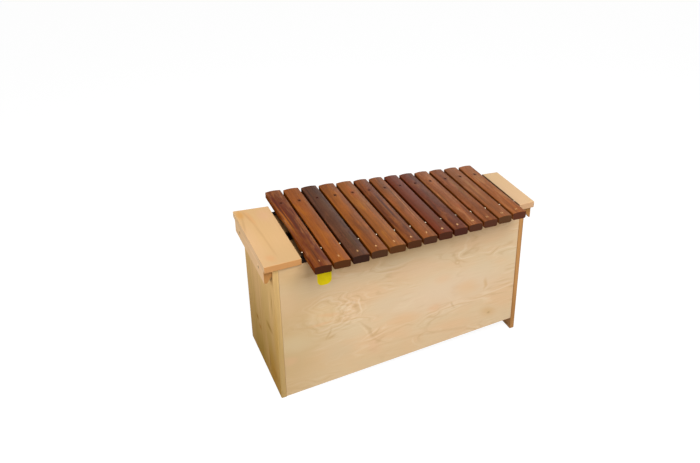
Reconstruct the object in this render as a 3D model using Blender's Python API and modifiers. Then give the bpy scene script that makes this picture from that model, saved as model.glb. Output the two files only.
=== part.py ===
"""Bass xylophone: thirteen tuned bars that lift off a tapered resonator box.

Metres, +Z up. The origin is on the floor, at the middle of the instrument's length and depth. +X runs
along the row of bars from the low notes to the high ones, and +Y runs away from the player.
"""

import math

import bmesh
import bpy
from mathutils import Matrix, Vector

COLLECTION_NAME = "bass_xylophone"
CUTTER_COLLECTION_NAME = "bass_xylophone_cutters"

# Fits
SEAT_GAP = 0.0003
PIN_FIT = 0.0003
SCREW_FIT = 0.0005
CUTTER_OVERSHOOT = 0.001
WELD_DISTANCE = 0.000001

# Bars
WIDE_BAR_COUNT = 5
NARROW_BAR_COUNT = 8
WIDE_BAR_WIDTH = 0.050
NARROW_BAR_WIDTH = 0.044
BAR_SPACING = 0.008
FIRST_BAR_LENGTH = 0.4985
LAST_BAR_LENGTH = 0.3610
BAR_THICKNESS = 0.025
BAR_CROWN = 0.0025
BAR_ROUNDING = 0.0013
BAR_BELLY_ROUNDING = 0.0055
BAR_LEAD = 0.003
BAR_HOLE_DIAMETER = 0.0065
FIRST_UNDERCUT_DEPTH = 0.0150
LAST_UNDERCUT_DEPTH = 0.0100
UNDERCUT_MARGIN = 0.020
UNDERCUT_POWER = 2.4

# Resonator box
LEFT_OVERHANG = 0.0255
RIGHT_OVERHANG = 0.0305
BOX_HEIGHT = 0.454
BOX_DEPTH_LEFT = 0.3450
BOX_DEPTH_RIGHT = 0.2272
END_BOARD_THICKNESS = 0.016
PANEL_THICKNESS = 0.010
PANEL_FOOT_LEFT = 0.002
PANEL_FOOT_RIGHT = 0.044
BOTTOM_THICKNESS = 0.006
BOTTOM_INSET = 0.008
COVER_THICKNESS = 0.006
SLOT_WIDTH = 0.050
PARTITION_THICKNESS = 0.004
GROOVE_DEPTH = 0.003
BOX_EDGE_EASE = 0.0008

# Caps at the two ends, and the grip strips under them
LEFT_CAP_WIDTH = 0.1112
RIGHT_CAP_WIDTH = 0.055
LEFT_CAP_TO_PIN = 0.0078
RIGHT_CAP_TO_PIN = 0.011
CAP_THICKNESS = 0.020
CAP_SIDE_OVERHANG = 0.006
CAP_ROUNDING = 0.0015
GRIP_HEIGHT = 0.042
GRIP_SETBACK = 0.001
GRIP_END_INSET = 0.0155
LEFT_GRIP_FOOT = 0.0095
RIGHT_GRIP_FOOT = 0.0042
GRIP_GROOVE_SLOPE = 0.0115
GRIP_GROOVE_HEIGHT = 0.0175
GRIP_ROUNDING = 0.001

# Screws through the grip strips
SCREW_HEAD_DIAMETER = 0.010
SCREW_HEAD_HEIGHT = 0.003
SCREW_SHANK_DIAMETER = 0.0045
SCREW_TIP_COVER = 0.003
SCREW_DROP = 0.018
SCREW_END_INSET = 0.057

# Rails, felt and pins under the bars
RAIL_WIDTH = 0.024
RAIL_HEIGHT = 0.0051
RAIL_SETBACK = 0.001
RAIL_EDGE_EASE = 0.0006
REAR_TOE_HEIGHT = 0.0012
REAR_TOE_UNDER_BAR = 0.005
FELT_THICKNESS = 0.003
PIN_DIAMETER = 0.0034
PIN_HEAD_DIAMETER = 0.0052
PIN_HEAD_HEIGHT = 0.0016
PIN_DOME_SHARE = 0.7
PIN_RECESS = 0.0048

# Facets
CROWN_SEGMENTS = 8
UNDERCUT_SEGMENTS = 14
ROUNDING_SEGMENTS = 2
BELLY_SEGMENTS = 3
HOLE_SEGMENTS = 12
PIN_SEGMENTS = 10
SCREW_SEGMENTS = 12
SHARP_ANGLE = math.radians(35.0)

# Finishes: colour, roughness and metallic value
SOLID_PINE = ("#DDB380", 0.50, 0.0)
FACE_PLYWOOD = ("#D8BE96", 0.55, 0.0)
INNER_PLYWOOD = ("#A98A5E", 0.65, 0.0)
BLACK_STAIN = ("#1E1915", 0.70, 0.0)
BLACK_FELT = ("#141211", 0.95, 0.0)
NICKEL = ("#D5D3CC", 0.25, 1.0)
ZINC = ("#B9B6AC", 0.35, 1.0)
BAR_ROUGHNESS = 0.40
BAR_TONES = (
    "#8A4A30", "#A55F2E", "#5E4138", "#9A5A35", "#A66535", "#7D4A35", "#A0643A",
    "#7B4336", "#74423A", "#9E623C", "#8A5038", "#8F583A", "#9A5C36",
)

# Worked out from the dimensions above
BAR_WIDTHS = [WIDE_BAR_WIDTH] * WIDE_BAR_COUNT + [NARROW_BAR_WIDTH] * NARROW_BAR_COUNT
ROW_LENGTH = sum(BAR_WIDTHS) + BAR_SPACING * len(BAR_WIDTHS)
TOTAL_LENGTH = LEFT_CAP_WIDTH + LEFT_CAP_TO_PIN + ROW_LENGTH + RIGHT_CAP_TO_PIN + RIGHT_CAP_WIDTH
CAP_LEFT = -TOTAL_LENGTH / 2
CAP_RIGHT = TOTAL_LENGTH / 2
LEFT_CAP_EDGE = CAP_LEFT + LEFT_CAP_WIDTH
RIGHT_CAP_EDGE = CAP_RIGHT - RIGHT_CAP_WIDTH
ROW_LEFT = LEFT_CAP_EDGE + LEFT_CAP_TO_PIN
REAR_TOE_END = ROW_LEFT + BAR_SPACING / 2 + REAR_TOE_UNDER_BAR
BOX_LEFT = CAP_LEFT + LEFT_OVERHANG
BOX_RIGHT = CAP_RIGHT - RIGHT_OVERHANG
INNER_LEFT = BOX_LEFT + END_BOARD_THICKNESS
INNER_RIGHT = BOX_RIGHT - END_BOARD_THICKNESS
RAIL_BOTTOM = BOX_HEIGHT + SEAT_GAP
FELT_BOTTOM = RAIL_BOTTOM + RAIL_HEIGHT + SEAT_GAP
BAR_SEAT = FELT_BOTTOM + FELT_THICKNESS + SEAT_GAP
BAR_TOP = BAR_SEAT + BAR_THICKNESS
PIN_TOP = BAR_TOP - PIN_RECESS
PIN_FOOT = RAIL_BOTTOM + SEAT_GAP
BOX_MIDDLE = BAR_LEAD


def box_half_depth(x):
    """Half of the box's outside depth at x. The box narrows evenly towards the high notes."""
    share = (x - BOX_LEFT) / (BOX_RIGHT - BOX_LEFT)
    return (BOX_DEPTH_LEFT + share * (BOX_DEPTH_RIGHT - BOX_DEPTH_LEFT)) / 2


def inner_half_depth(x):
    """Half of the distance between the two panels' inner faces at x."""
    return box_half_depth(x) - PANEL_THICKNESS


def cap_half_depth(x):
    """Half of a cap's depth at x. The cap's ends run parallel to the panels."""
    return box_half_depth(x) + CAP_SIDE_OVERHANG


def rail_outer(x):
    """Distance from the middle plane to a rail's outer side at x."""
    return box_half_depth(x) - RAIL_SETBACK


def rail_inner(x):
    """Distance from the middle plane to a rail's inner side at x."""
    return rail_outer(x) - RAIL_WIDTH


def pin_line(x):
    """Distance from the middle plane to the middle of a rail at x, where its pins stand."""
    return rail_outer(x) - RAIL_WIDTH / 2


def half_slot(x):
    """Half of the sound slot's width, which is the same at every x."""
    return SLOT_WIDTH / 2


def panel_foot(x):
    """Height of the panels' lower edge at x. It climbs towards the high notes."""
    share = (x - INNER_LEFT) / (INNER_RIGHT - INNER_LEFT)
    return PANEL_FOOT_LEFT + share * (PANEL_FOOT_RIGHT - PANEL_FOOT_LEFT)


def panel_faces(x):
    """Heights of a panel's lower and upper edges at x."""
    return panel_foot(x), BOX_HEIGHT


def bottom_faces(x):
    """Heights of the bottom board's underside and top at x. They follow the panels' lower edge."""
    underside = panel_foot(x) + BOTTOM_INSET
    return underside, underside + BOTTOM_THICKNESS


def bottom_groove_faces(x):
    """Heights of the groove that the bottom board lies in at x."""
    underside, top = bottom_faces(x)
    return underside - SEAT_GAP, top + SEAT_GAP


def partition_groove_faces(x):
    """Heights of a partition's groove at x, which runs out at the panel's upper edge."""
    underside, _ = bottom_faces(x)
    return underside, BOX_HEIGHT + CUTTER_OVERSHOOT


def partition_faces(x):
    """Heights of a partition's lower and upper edges at x, between the bottom board and the cover boards."""
    _, bottom_top = bottom_faces(x)
    return bottom_top + SEAT_GAP, BOX_HEIGHT - COVER_THICKNESS - SEAT_GAP


def level(low, high):
    """A pair of heights that is the same at every x."""
    def heights(x):
        return low, high
    return heights


def grown(distance, amount):
    """A distance from the middle plane with a fixed amount added."""
    def grown_distance(x):
        return distance(x) + amount
    return grown_distance


def mirrored(distance):
    """Limits in y at the same distance on both sides of the middle plane."""
    def limits(x):
        return BOX_MIDDLE - distance(x), BOX_MIDDLE + distance(x)
    return limits


def on_side(side, inner, outer):
    """Limits in y on one side of the middle plane, -1 for the player's and 1 for the far one."""
    def limits(x):
        return tuple(sorted((BOX_MIDDLE + side * inner(x), BOX_MIDDLE + side * outer(x))))
    return limits


def spacer_stations():
    """The x of each spacer pin, from the left of the first bar to the right of the last."""
    stations = [ROW_LEFT]
    for width in BAR_WIDTHS:
        stations.append(stations[-1] + width + BAR_SPACING)
    return stations


def bar_centres():
    """The x of each bar's middle line, halfway between its two spacer pins."""
    stations = spacer_stations()
    return [(left + right) / 2 for left, right in zip(stations, stations[1:])]


def partition_stations():
    """The x of each partition: under the spacer pins, but under the caps' inner edges at both ends."""
    return [LEFT_CAP_EDGE] + spacer_stations()[1:-1] + [RIGHT_CAP_EDGE]


def along_row(x, first, last):
    """A value that goes evenly from first, at the first bar, to last, at the last bar."""
    centres = bar_centres()
    share = (x - centres[0]) / (centres[-1] - centres[0])
    return first + share * (last - first)


def linear_colour(hex_colour):
    """Turns an sRGB hex colour to the linear RGBA that a shader takes."""
    channels = [int(hex_colour[start:start + 2], 16) / 255 for start in (1, 3, 5)]
    linear = [c / 12.92 if c <= 0.04045 else ((c + 0.055) / 1.055) ** 2.4 for c in channels]
    return (*linear, 1.0)


def new_material(name, finish):
    """Makes the material of one part."""
    colour, roughness, metallic = finish
    material = bpy.data.materials.new(name)
    material.use_nodes = True
    shader = material.node_tree.nodes["Principled BSDF"]
    shader.inputs["Base Color"].default_value = linear_colour(colour)
    shader.inputs["Roughness"].default_value = roughness
    shader.inputs["Metallic"].default_value = metallic
    material.diffuse_color = linear_colour(colour)
    return material


def find_collection(name):
    """Finds a collection of the scene, or makes it."""
    collection = bpy.data.collections.get(name)
    if collection is None:
        collection = bpy.data.collections.new(name)
        bpy.context.scene.collection.children.link(collection)
    return collection


def add_part(name, mesh, finish, location=(0.0, 0.0, 0.0), rotation=(0.0, 0.0, 0.0)):
    """Adds a mesh to the instrument as a named part with its own material."""
    part = bpy.data.objects.new(name, mesh)
    part.location = location
    part.rotation_euler = rotation
    if not mesh.materials:
        mesh.materials.append(new_material(name, finish))
    find_collection(COLLECTION_NAME).objects.link(part)
    return part


def add_cutter(name, mesh, location=(0.0, 0.0, 0.0), rotation=(0.0, 0.0, 0.0)):
    """Adds a mesh as a cutter, which is shown as a wire and isn't rendered."""
    cutter = bpy.data.objects.new(name, mesh)
    cutter.location = location
    cutter.rotation_euler = rotation
    cutter.hide_render = True
    cutter.display_type = "WIRE"
    find_collection(CUTTER_COLLECTION_NAME).objects.link(cutter)
    return cutter


def combine(part, operand, operation):
    """Cuts a part with another object, or joins the two."""
    boolean = part.modifiers.new(operand.name, "BOOLEAN")
    boolean.operation = operation
    boolean.solver = "EXACT"
    boolean.object = operand


def round_edges(part, width, segments):
    """Rounds a part's sharp edges."""
    bevel = part.modifiers.new("rounding", "BEVEL")
    bevel.width = width
    bevel.segments = segments
    bevel.limit_method = "ANGLE"
    bevel.angle_limit = SHARP_ANGLE


def shade_round(mesh):
    """Shades a mesh smooth, with its sharp edges kept."""
    mesh.shade_smooth()
    mesh.set_sharp_from_angle(angle=SHARP_ANGLE)


def blocks_mesh(name, blocks):
    """Makes a mesh of blocks. Each is a cube whose corners are moved to its ends in x, and to its sides in y
    and its faces in z at each end."""
    bm = bmesh.new()
    for ends, sides, faces in blocks:
        for vert in bmesh.ops.create_cube(bm, size=2.0)["verts"]:
            x = ends[vert.co.x > 0.0]
            y = sides(x)[vert.co.y > 0.0]
            z = faces(x)[vert.co.z > 0.0]
            vert.co = (x, y, z)
    mesh = bpy.data.meshes.new(name)
    bm.to_mesh(mesh)
    bm.free()
    return mesh


def make_board(name, ends, sides, faces, finish):
    """Makes a board, with its origin at the middle of its corners."""
    mesh = blocks_mesh(name, [(ends, sides, faces)])
    middle = sum((vert.co for vert in mesh.vertices), Vector()) / len(mesh.vertices)
    mesh.transform(Matrix.Translation(-middle))
    return add_part(name, mesh, finish, middle)


def evaluated_mesh(temporary):
    """Turns a temporary object into a welded mesh and removes the object."""
    bpy.context.scene.collection.objects.link(temporary)
    source = temporary.evaluated_get(bpy.context.evaluated_depsgraph_get())
    mesh = bpy.data.meshes.new_from_object(source)
    bpy.data.objects.remove(temporary, do_unlink=True)
    bm = bmesh.new()
    bm.from_mesh(mesh)
    bmesh.ops.remove_doubles(bm, verts=bm.verts, dist=WELD_DISTANCE)
    bm.to_mesh(mesh)
    bm.free()
    return mesh


def outline_mesh(name, points, thickness):
    """Makes a flat piece from its outline in x and y, with half of its thickness on each side of z = 0."""
    curve = bpy.data.curves.new(name, "CURVE")
    curve.dimensions = "2D"
    curve.fill_mode = "BOTH"
    curve.extrude = thickness / 2
    spline = curve.splines.new("POLY")
    spline.points.add(len(points) - 1)
    for point, (x, y) in zip(spline.points, points):
        point.co = (x, y, 0.0, 1.0)
    spline.use_cyclic_u = True
    return evaluated_mesh(bpy.data.objects.new(name, curve))


def turned_mesh(name, profile, segments):
    """Turns a profile of radii and heights, drawn from its top down its outer side, round the z axis."""
    mesh = bpy.data.meshes.new(name)
    bm = bmesh.new()
    verts = [bm.verts.new((radius, 0.0, height)) for radius, height in profile]
    for start, end in zip(verts, verts[1:]):
        bm.edges.new((start, end))
    bm.to_mesh(mesh)
    bm.free()
    profile_object = bpy.data.objects.new(name, mesh)
    screw = profile_object.modifiers.new("turning", "SCREW")
    screw.steps = segments
    screw.render_steps = segments
    screw.use_merge_vertices = True
    screw.merge_threshold = WELD_DISTANCE
    turned = evaluated_mesh(profile_object)
    shade_round(turned)
    return turned


def cylinders_mesh(name, radius, low, high, places, segments):
    """Makes a mesh of upright cylinders, one at each place in x and y."""
    bm = bmesh.new()
    for x, y in places:
        middle = Matrix.Translation((x, y, (low + high) / 2))
        bmesh.ops.create_cone(bm, cap_ends=True, segments=segments, radius1=radius, radius2=radius,
                              depth=high - low, matrix=middle)
    mesh = bpy.data.meshes.new(name)
    bm.to_mesh(mesh)
    bm.free()
    return mesh


def make_end_board(name, outer, inner):
    """Makes an end board, which stands on the floor and has a stopped groove for the bottom board."""
    ends = (min(outer, inner), max(outer, inner))
    board = make_board(name, ends, mirrored(box_half_depth), level(0.0, BOX_HEIGHT), SOLID_PINE)
    round_edges(board, BOX_EDGE_EASE, 1)
    outward = math.copysign(1.0, outer - inner)
    groove_ends = sorted((inner + outward * GROOVE_DEPTH, inner - outward * CUTTER_OVERSHOOT))
    groove_sides = mirrored(grown(inner_half_depth, GROOVE_DEPTH))
    groove = blocks_mesh(name + "_groove", [(groove_ends, groove_sides, bottom_groove_faces)])
    combine(board, add_cutter(name + "_groove", groove), "DIFFERENCE")
    return board


def make_panel(name, side):
    """Makes a panel between the end boards, grooved for the partitions and for the bottom board."""
    ends = (INNER_LEFT + SEAT_GAP, INNER_RIGHT - SEAT_GAP)
    panel = make_board(name, ends, on_side(side, inner_half_depth, box_half_depth), panel_faces, FACE_PLYWOOD)
    round_edges(panel, BOX_EDGE_EASE, 1)

    mouth = grown(inner_half_depth, -CUTTER_OVERSHOOT)
    groove_sides = on_side(side, mouth, grown(inner_half_depth, GROOVE_DEPTH))
    half = PARTITION_THICKNESS / 2 + SEAT_GAP
    blocks = [((x - half, x + half), groove_sides, partition_groove_faces) for x in partition_stations()]
    uprights = add_cutter(name + "_partition_grooves", blocks_mesh(name + "_partition_grooves", blocks))
    combine(panel, uprights, "DIFFERENCE")

    along = (INNER_LEFT - CUTTER_OVERSHOOT, INNER_RIGHT + CUTTER_OVERSHOOT)
    groove = blocks_mesh(name + "_bottom_groove", [(along, groove_sides, bottom_groove_faces)])
    combine(panel, add_cutter(name + "_bottom_groove", groove), "DIFFERENCE")


def make_bottom_board():
    """Makes the sloping bottom board, whose four edges lie in the grooves."""
    reach = GROOVE_DEPTH - SEAT_GAP
    ends = (INNER_LEFT - reach, INNER_RIGHT + reach)
    make_board("bottom_board", ends, mirrored(grown(inner_half_depth, reach)), bottom_faces, INNER_PLYWOOD)


def make_partitions():
    """Makes the partitions, which divide the box into one chamber for each bar."""
    half = PARTITION_THICKNESS / 2
    sides = mirrored(grown(inner_half_depth, GROOVE_DEPTH - SEAT_GAP))
    for number, x in enumerate(partition_stations(), start=1):
        make_board(f"partition_{number:02d}", (x - half, x + half), sides, partition_faces, INNER_PLYWOOD)


def make_cover_board(name, side):
    """Makes one of the two cover boards, which leave the long sound slot between them."""
    ends = (INNER_LEFT + SEAT_GAP, INNER_RIGHT - SEAT_GAP)
    sides = on_side(side, half_slot, grown(inner_half_depth, -SEAT_GAP))
    make_board(name, ends, sides, level(BOX_HEIGHT - COVER_THICKNESS, BOX_HEIGHT), INNER_PLYWOOD)


def make_cap(name, ends):
    """Makes a cap, which closes one end of the box and overhangs it."""
    underside = BOX_HEIGHT + SEAT_GAP
    faces = level(underside, underside + CAP_THICKNESS)
    cap = make_board(name, ends, mirrored(cap_half_depth), faces, SOLID_PINE)
    round_edges(cap, CAP_ROUNDING, ROUNDING_SEGMENTS)


def screw_profile(length, growth=0.0, above=0.0):
    """A countersunk screw's profile below its face at zero. For its bore it is grown, and drawn out above
    its face."""
    head = SCREW_HEAD_DIAMETER / 2 + growth
    shank = SCREW_SHANK_DIAMETER / 2 + growth
    profile = [(0.0, above), (head, above)]
    if above > 0.0:
        profile.append((head, 0.0))
    return profile + [(shank, -SCREW_HEAD_HEIGHT), (shank, -length - growth), (0.0, -length - growth)]


def make_grip_strip(name, board, box_face, cap_edge, foot, screw_numbers):
    """Makes the grip strip under a cap's overhang, with its two screws. The groove for the fingers is level
    next to the box and slopes down to the strip's foot."""
    outward = math.copysign(1.0, cap_edge - box_face)
    thickness = abs(cap_edge - box_face) - GRIP_SETBACK
    groove_top = GRIP_GROOVE_HEIGHT - GRIP_HEIGHT
    outline = [
        (SEAT_GAP, 0.0),
        (SEAT_GAP, groove_top),
        (thickness - foot - GRIP_GROOVE_SLOPE, groove_top),
        (thickness - foot, -GRIP_HEIGHT),
        (thickness, -GRIP_HEIGHT),
        (thickness, 0.0),
    ]
    half_length = cap_half_depth(cap_edge) - GRIP_END_INSET
    facing = 0.0 if outward > 0.0 else math.pi
    section = outline_mesh(name, outline, 2 * half_length)
    corner = (box_face, BOX_MIDDLE, BOX_HEIGHT)
    strip = add_part(name, section, SOLID_PINE, corner, (math.pi / 2, 0.0, facing))
    round_edges(strip, GRIP_ROUNDING, ROUNDING_SEGMENTS)

    length = thickness + END_BOARD_THICKNESS - SCREW_TIP_COVER
    screw = turned_mesh("grip_screw", screw_profile(length), SCREW_SEGMENTS)
    bore = turned_mesh("grip_screw_bore", screw_profile(length, SCREW_FIT, CUTTER_OVERSHOOT), SCREW_SEGMENTS)
    face = box_face + outward * thickness
    turn = (0.0, outward * math.pi / 2, 0.0)
    for number, side in zip(screw_numbers, (-1, 1)):
        y = BOX_MIDDLE + side * (half_length - SCREW_END_INSET)
        place = (face, y, BOX_HEIGHT - SCREW_DROP)
        add_part(f"grip_screw_{number}", screw, ZINC, place, turn)
        cutter = add_cutter(f"grip_screw_bore_{number}", bore, place, turn)
        combine(strip, cutter, "DIFFERENCE")
        combine(board, cutter, "DIFFERENCE")


def make_rail_board(name, side, left, bottom, height, finish):
    """Makes a strip that runs along one side of the box, from x = left to the right cap."""
    ends = (left + SEAT_GAP, RIGHT_CAP_EDGE - SEAT_GAP)
    sides = on_side(side, rail_inner, rail_outer)
    return make_board(name, ends, sides, level(bottom, bottom + height), finish)


def make_front_rail():
    """Makes the player's rail with its felt, and the spacer pins that stand in it between the bars."""
    rail = make_rail_board("front_rail", -1, LEFT_CAP_EDGE, RAIL_BOTTOM, RAIL_HEIGHT, BLACK_STAIN)
    round_edges(rail, RAIL_EDGE_EASE, 1)
    felt = make_rail_board("front_felt_strip", -1, LEFT_CAP_EDGE, FELT_BOTTOM, FELT_THICKNESS, BLACK_FELT)
    places = [(x, BOX_MIDDLE - pin_line(x)) for x in spacer_stations()]
    bores = cylinders_mesh("spacer_pin_bores", PIN_DIAMETER / 2 + PIN_FIT, RAIL_BOTTOM - CUTTER_OVERSHOOT,
                           BAR_SEAT + CUTTER_OVERSHOOT, places, PIN_SEGMENTS)
    cutter = add_cutter("spacer_pin_bores", bores)
    combine(rail, cutter, "DIFFERENCE")
    combine(felt, cutter, "DIFFERENCE")

    shank = PIN_DIAMETER / 2
    head = PIN_HEAD_DIAMETER / 2
    length = PIN_TOP - PIN_FOOT
    rim = length - PIN_HEAD_HEIGHT / 2
    profile = [
        (0.0, length),
        (head * PIN_DOME_SHARE, (length + rim) / 2),
        (head, rim),
        (head, length - PIN_HEAD_HEIGHT),
        (shank, length - PIN_HEAD_HEIGHT),
        (shank, 0.0),
        (0.0, 0.0),
    ]
    pin = turned_mesh("spacer_pin", profile, PIN_SEGMENTS)
    for number, (x, y) in enumerate(places, start=1):
        add_part(f"spacer_pin_{number:02d}", pin, NICKEL, (x, y, PIN_FOOT))


def make_rear_rail():
    """Makes the far rail with its felt. Next to the left cap it is only a thin toe, and it rises under the
    first bar. The pins that pass through the bars are one piece with the rail."""
    rail = make_rail_board("rear_rail", 1, LEFT_CAP_EDGE, RAIL_BOTTOM, RAIL_HEIGHT, BLACK_STAIN)
    round_edges(rail, RAIL_EDGE_EASE, 1)
    notch_ends = (LEFT_CAP_EDGE - CUTTER_OVERSHOOT, REAR_TOE_END)
    notch_sides = on_side(1, grown(rail_inner, -CUTTER_OVERSHOOT), grown(rail_outer, CUTTER_OVERSHOOT))
    notch_faces = level(RAIL_BOTTOM + REAR_TOE_HEIGHT, RAIL_BOTTOM + RAIL_HEIGHT + CUTTER_OVERSHOOT)
    notch = blocks_mesh("rear_rail_notch", [(notch_ends, notch_sides, notch_faces)])
    combine(rail, add_cutter("rear_rail_notch", notch), "DIFFERENCE")
    felt = make_rail_board("rear_felt_strip", 1, REAR_TOE_END, FELT_BOTTOM, FELT_THICKNESS, BLACK_FELT)
    places = [(x, BOX_MIDDLE + pin_line(x)) for x in bar_centres()]
    bores = cylinders_mesh("bar_pin_bores", PIN_DIAMETER / 2 + PIN_FIT, RAIL_BOTTOM + RAIL_HEIGHT,
                           BAR_SEAT + CUTTER_OVERSHOOT, places, PIN_SEGMENTS)
    combine(felt, add_cutter("bar_pin_bores", bores), "DIFFERENCE")
    pins = cylinders_mesh("bar_pins", PIN_DIAMETER / 2, PIN_FOOT, PIN_TOP, places, PIN_SEGMENTS)
    combine(rail, add_cutter("bar_pins", pins), "UNION")


def bar_section(width):
    """A bar's cross-section: a flat underside, rounded lower edges, upright sides and a crowned top."""
    half = width / 2
    section = []
    for middle, start in ((BAR_BELLY_ROUNDING - half, math.pi), (half - BAR_BELLY_ROUNDING, 1.5 * math.pi)):
        for step in range(BELLY_SEGMENTS + 1):
            angle = start + 0.5 * math.pi * step / BELLY_SEGMENTS
            rise = BAR_BELLY_ROUNDING * (1.0 + math.sin(angle))
            section.append((middle + BAR_BELLY_ROUNDING * math.cos(angle), rise))
    for step in range(CROWN_SEGMENTS + 1):
        share = 1.0 - 2.0 * step / CROWN_SEGMENTS
        section.append((half * share, BAR_THICKNESS - BAR_CROWN * share ** 2))
    return section


def undercut_outline(half_span, depth):
    """The tuning arch under a bar, drawn along the bar: steep where it starts and flat in the middle."""
    rise = depth + CUTTER_OVERSHOOT
    outline = []
    for step in range(UNDERCUT_SEGMENTS + 1):
        share = 1.0 - 2.0 * step / UNDERCUT_SEGMENTS
        outline.append((half_span * share, rise * (1.0 - abs(share) ** UNDERCUT_POWER) - CUTTER_OVERSHOOT))
    return outline


def make_bar(number, x, width, tone):
    """Makes one bar, with its tuning arch between the rails and the hole for its pin."""
    name = f"bar_{number:02d}"
    length = along_row(x, FIRST_BAR_LENGTH, LAST_BAR_LENGTH)
    section = outline_mesh(name, bar_section(width), length)
    shade_round(section)
    bar = add_part(name, section, (tone, BAR_ROUGHNESS, 0.0), (x, 0.0, BAR_SEAT), (math.pi / 2, 0.0, 0.0))
    round_edges(bar, BAR_ROUNDING, ROUNDING_SEGMENTS)

    half_span = rail_inner(x) - UNDERCUT_MARGIN
    depth = along_row(x, FIRST_UNDERCUT_DEPTH, LAST_UNDERCUT_DEPTH)
    arch = outline_mesh(name + "_arch", undercut_outline(half_span, depth), width + 2 * CUTTER_OVERSHOOT)
    cutter = add_cutter(name + "_arch", arch, (x, BOX_MIDDLE, BAR_SEAT), (math.pi / 2, 0.0, math.pi / 2))
    combine(bar, cutter, "DIFFERENCE")

    hole = cylinders_mesh(name + "_hole", BAR_HOLE_DIAMETER / 2, BAR_SEAT - CUTTER_OVERSHOOT,
                          BAR_TOP + CUTTER_OVERSHOOT, [(x, BOX_MIDDLE + pin_line(x))], HOLE_SEGMENTS)
    combine(bar, add_cutter(name + "_hole", hole), "DIFFERENCE")


def main():
    """Clears the scene and builds the instrument."""
    for scene_object in list(bpy.data.objects):
        bpy.data.objects.remove(scene_object, do_unlink=True)
    left_board = make_end_board("left_end_board", BOX_LEFT, INNER_LEFT)
    right_board = make_end_board("right_end_board", BOX_RIGHT, INNER_RIGHT)
    make_panel("front_panel", -1)
    make_panel("rear_panel", 1)
    make_bottom_board()
    make_partitions()
    make_cover_board("front_cover_board", -1)
    make_cover_board("rear_cover_board", 1)
    make_cap("left_cap", (CAP_LEFT, LEFT_CAP_EDGE))
    make_cap("right_cap", (RIGHT_CAP_EDGE, CAP_RIGHT))
    make_grip_strip("left_grip_strip", left_board, BOX_LEFT, CAP_LEFT, LEFT_GRIP_FOOT, (1, 2))
    make_grip_strip("right_grip_strip", right_board, BOX_RIGHT, CAP_RIGHT, RIGHT_GRIP_FOOT, (3, 4))
    make_front_rail()
    make_rear_rail()
    for number, (x, width, tone) in enumerate(zip(bar_centres(), BAR_WIDTHS, BAR_TONES), start=1):
        make_bar(number, x, width, tone)


main()
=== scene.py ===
"""Looks of a bass xylophone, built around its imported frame.

Thirteen rosewood bars lie on felt over a tapered pine resonator box. Metres, +Z up. +X runs along the row of
bars from the low notes to the high ones, and +Y runs away from the player.
"""

from __future__ import annotations

import logging
import math
import random
from collections.abc import Iterator, Sequence
from dataclasses import dataclass
from enum import Enum
from typing import Any

import bmesh
import bpy
from mathutils import Matrix, Vector


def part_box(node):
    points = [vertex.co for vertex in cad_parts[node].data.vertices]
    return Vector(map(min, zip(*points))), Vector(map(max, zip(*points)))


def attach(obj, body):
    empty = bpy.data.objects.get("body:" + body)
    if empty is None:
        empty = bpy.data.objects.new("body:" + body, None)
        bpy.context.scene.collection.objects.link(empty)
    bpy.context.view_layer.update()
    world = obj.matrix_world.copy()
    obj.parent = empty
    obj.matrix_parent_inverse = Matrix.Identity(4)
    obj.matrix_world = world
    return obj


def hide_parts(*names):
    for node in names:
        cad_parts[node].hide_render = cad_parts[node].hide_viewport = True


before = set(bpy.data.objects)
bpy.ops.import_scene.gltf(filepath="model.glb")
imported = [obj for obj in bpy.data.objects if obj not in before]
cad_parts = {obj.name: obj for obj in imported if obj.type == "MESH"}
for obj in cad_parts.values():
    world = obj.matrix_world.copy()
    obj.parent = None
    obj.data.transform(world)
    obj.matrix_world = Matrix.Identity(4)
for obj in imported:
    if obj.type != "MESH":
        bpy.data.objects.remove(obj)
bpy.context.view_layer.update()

LOG = logging.getLogger("bass_xylophone")
MM = 0.001
SHARP = math.radians(35.0)
ROOT = "root"
ANY_HEIGHT = 10.0
Triple = tuple[float, float, float]
Outline = list[tuple[float, float]]
Ring = list[Vector]


def linear(colour: str) -> tuple[float, float, float, float]:
    """Turns an sRGB hex colour to the linear RGBA that a shader takes.

    Args:
        colour: Six hex digits after a #.

    Returns:
        The linear red, green and blue, and an alpha of one.
    """
    channels = [int(colour[start:start + 2], 16) / 255 for start in (1, 3, 5)]
    red, green, blue = [c / 12.92 if c <= 0.04045 else ((c + 0.055) / 1.055) ** 2.4 for c in channels]
    return red, green, blue, 1.0


def connect(node: bpy.types.Node, inputs: dict[Any, Any]) -> None:
    """Fills a node's inputs.

    Args:
        node: The node to fill.
        inputs: For each input, by name or number, a value, a socket, or a node whose first output is taken.
    """
    for key, value in inputs.items():
        if isinstance(key, int):
            socket = node.inputs[key]
        else:
            socket = next(s for s in node.inputs if s.name == key and s.enabled)
        if isinstance(value, bpy.types.Node):
            value = next(s for s in value.outputs if s.enabled)
        if isinstance(value, bpy.types.NodeSocket):
            node.id_data.links.new(value, socket)
        else:
            socket.default_value = value


def add_node(tree: bpy.types.NodeTree, kind: str, inputs: dict[Any, Any] | None = None,
             stops: Sequence[tuple[float, float]] = (), **settings: Any) -> bpy.types.Node:
    """Adds a shader node with its settings and links.

    Args:
        tree: The node tree that it goes in.
        kind: The node's type without its ShaderNode prefix, such as Math.
        inputs: What each input takes, as connect() reads it.
        stops: Position and grey value of each stop, for a colour ramp.
        **settings: Properties of the node itself.

    Returns:
        The new node.
    """
    node = tree.nodes.new("ShaderNode" + kind)
    for name, value in settings.items():
        setattr(node, name, value)
    for index, (position, grey) in enumerate(stops):
        elements = node.color_ramp.elements
        stop = elements[index] if index < 2 else elements.new(position)
        stop.position = position
        stop.color = (grey, grey, grey, 1.0)
    connect(node, inputs or {})
    return node


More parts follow.
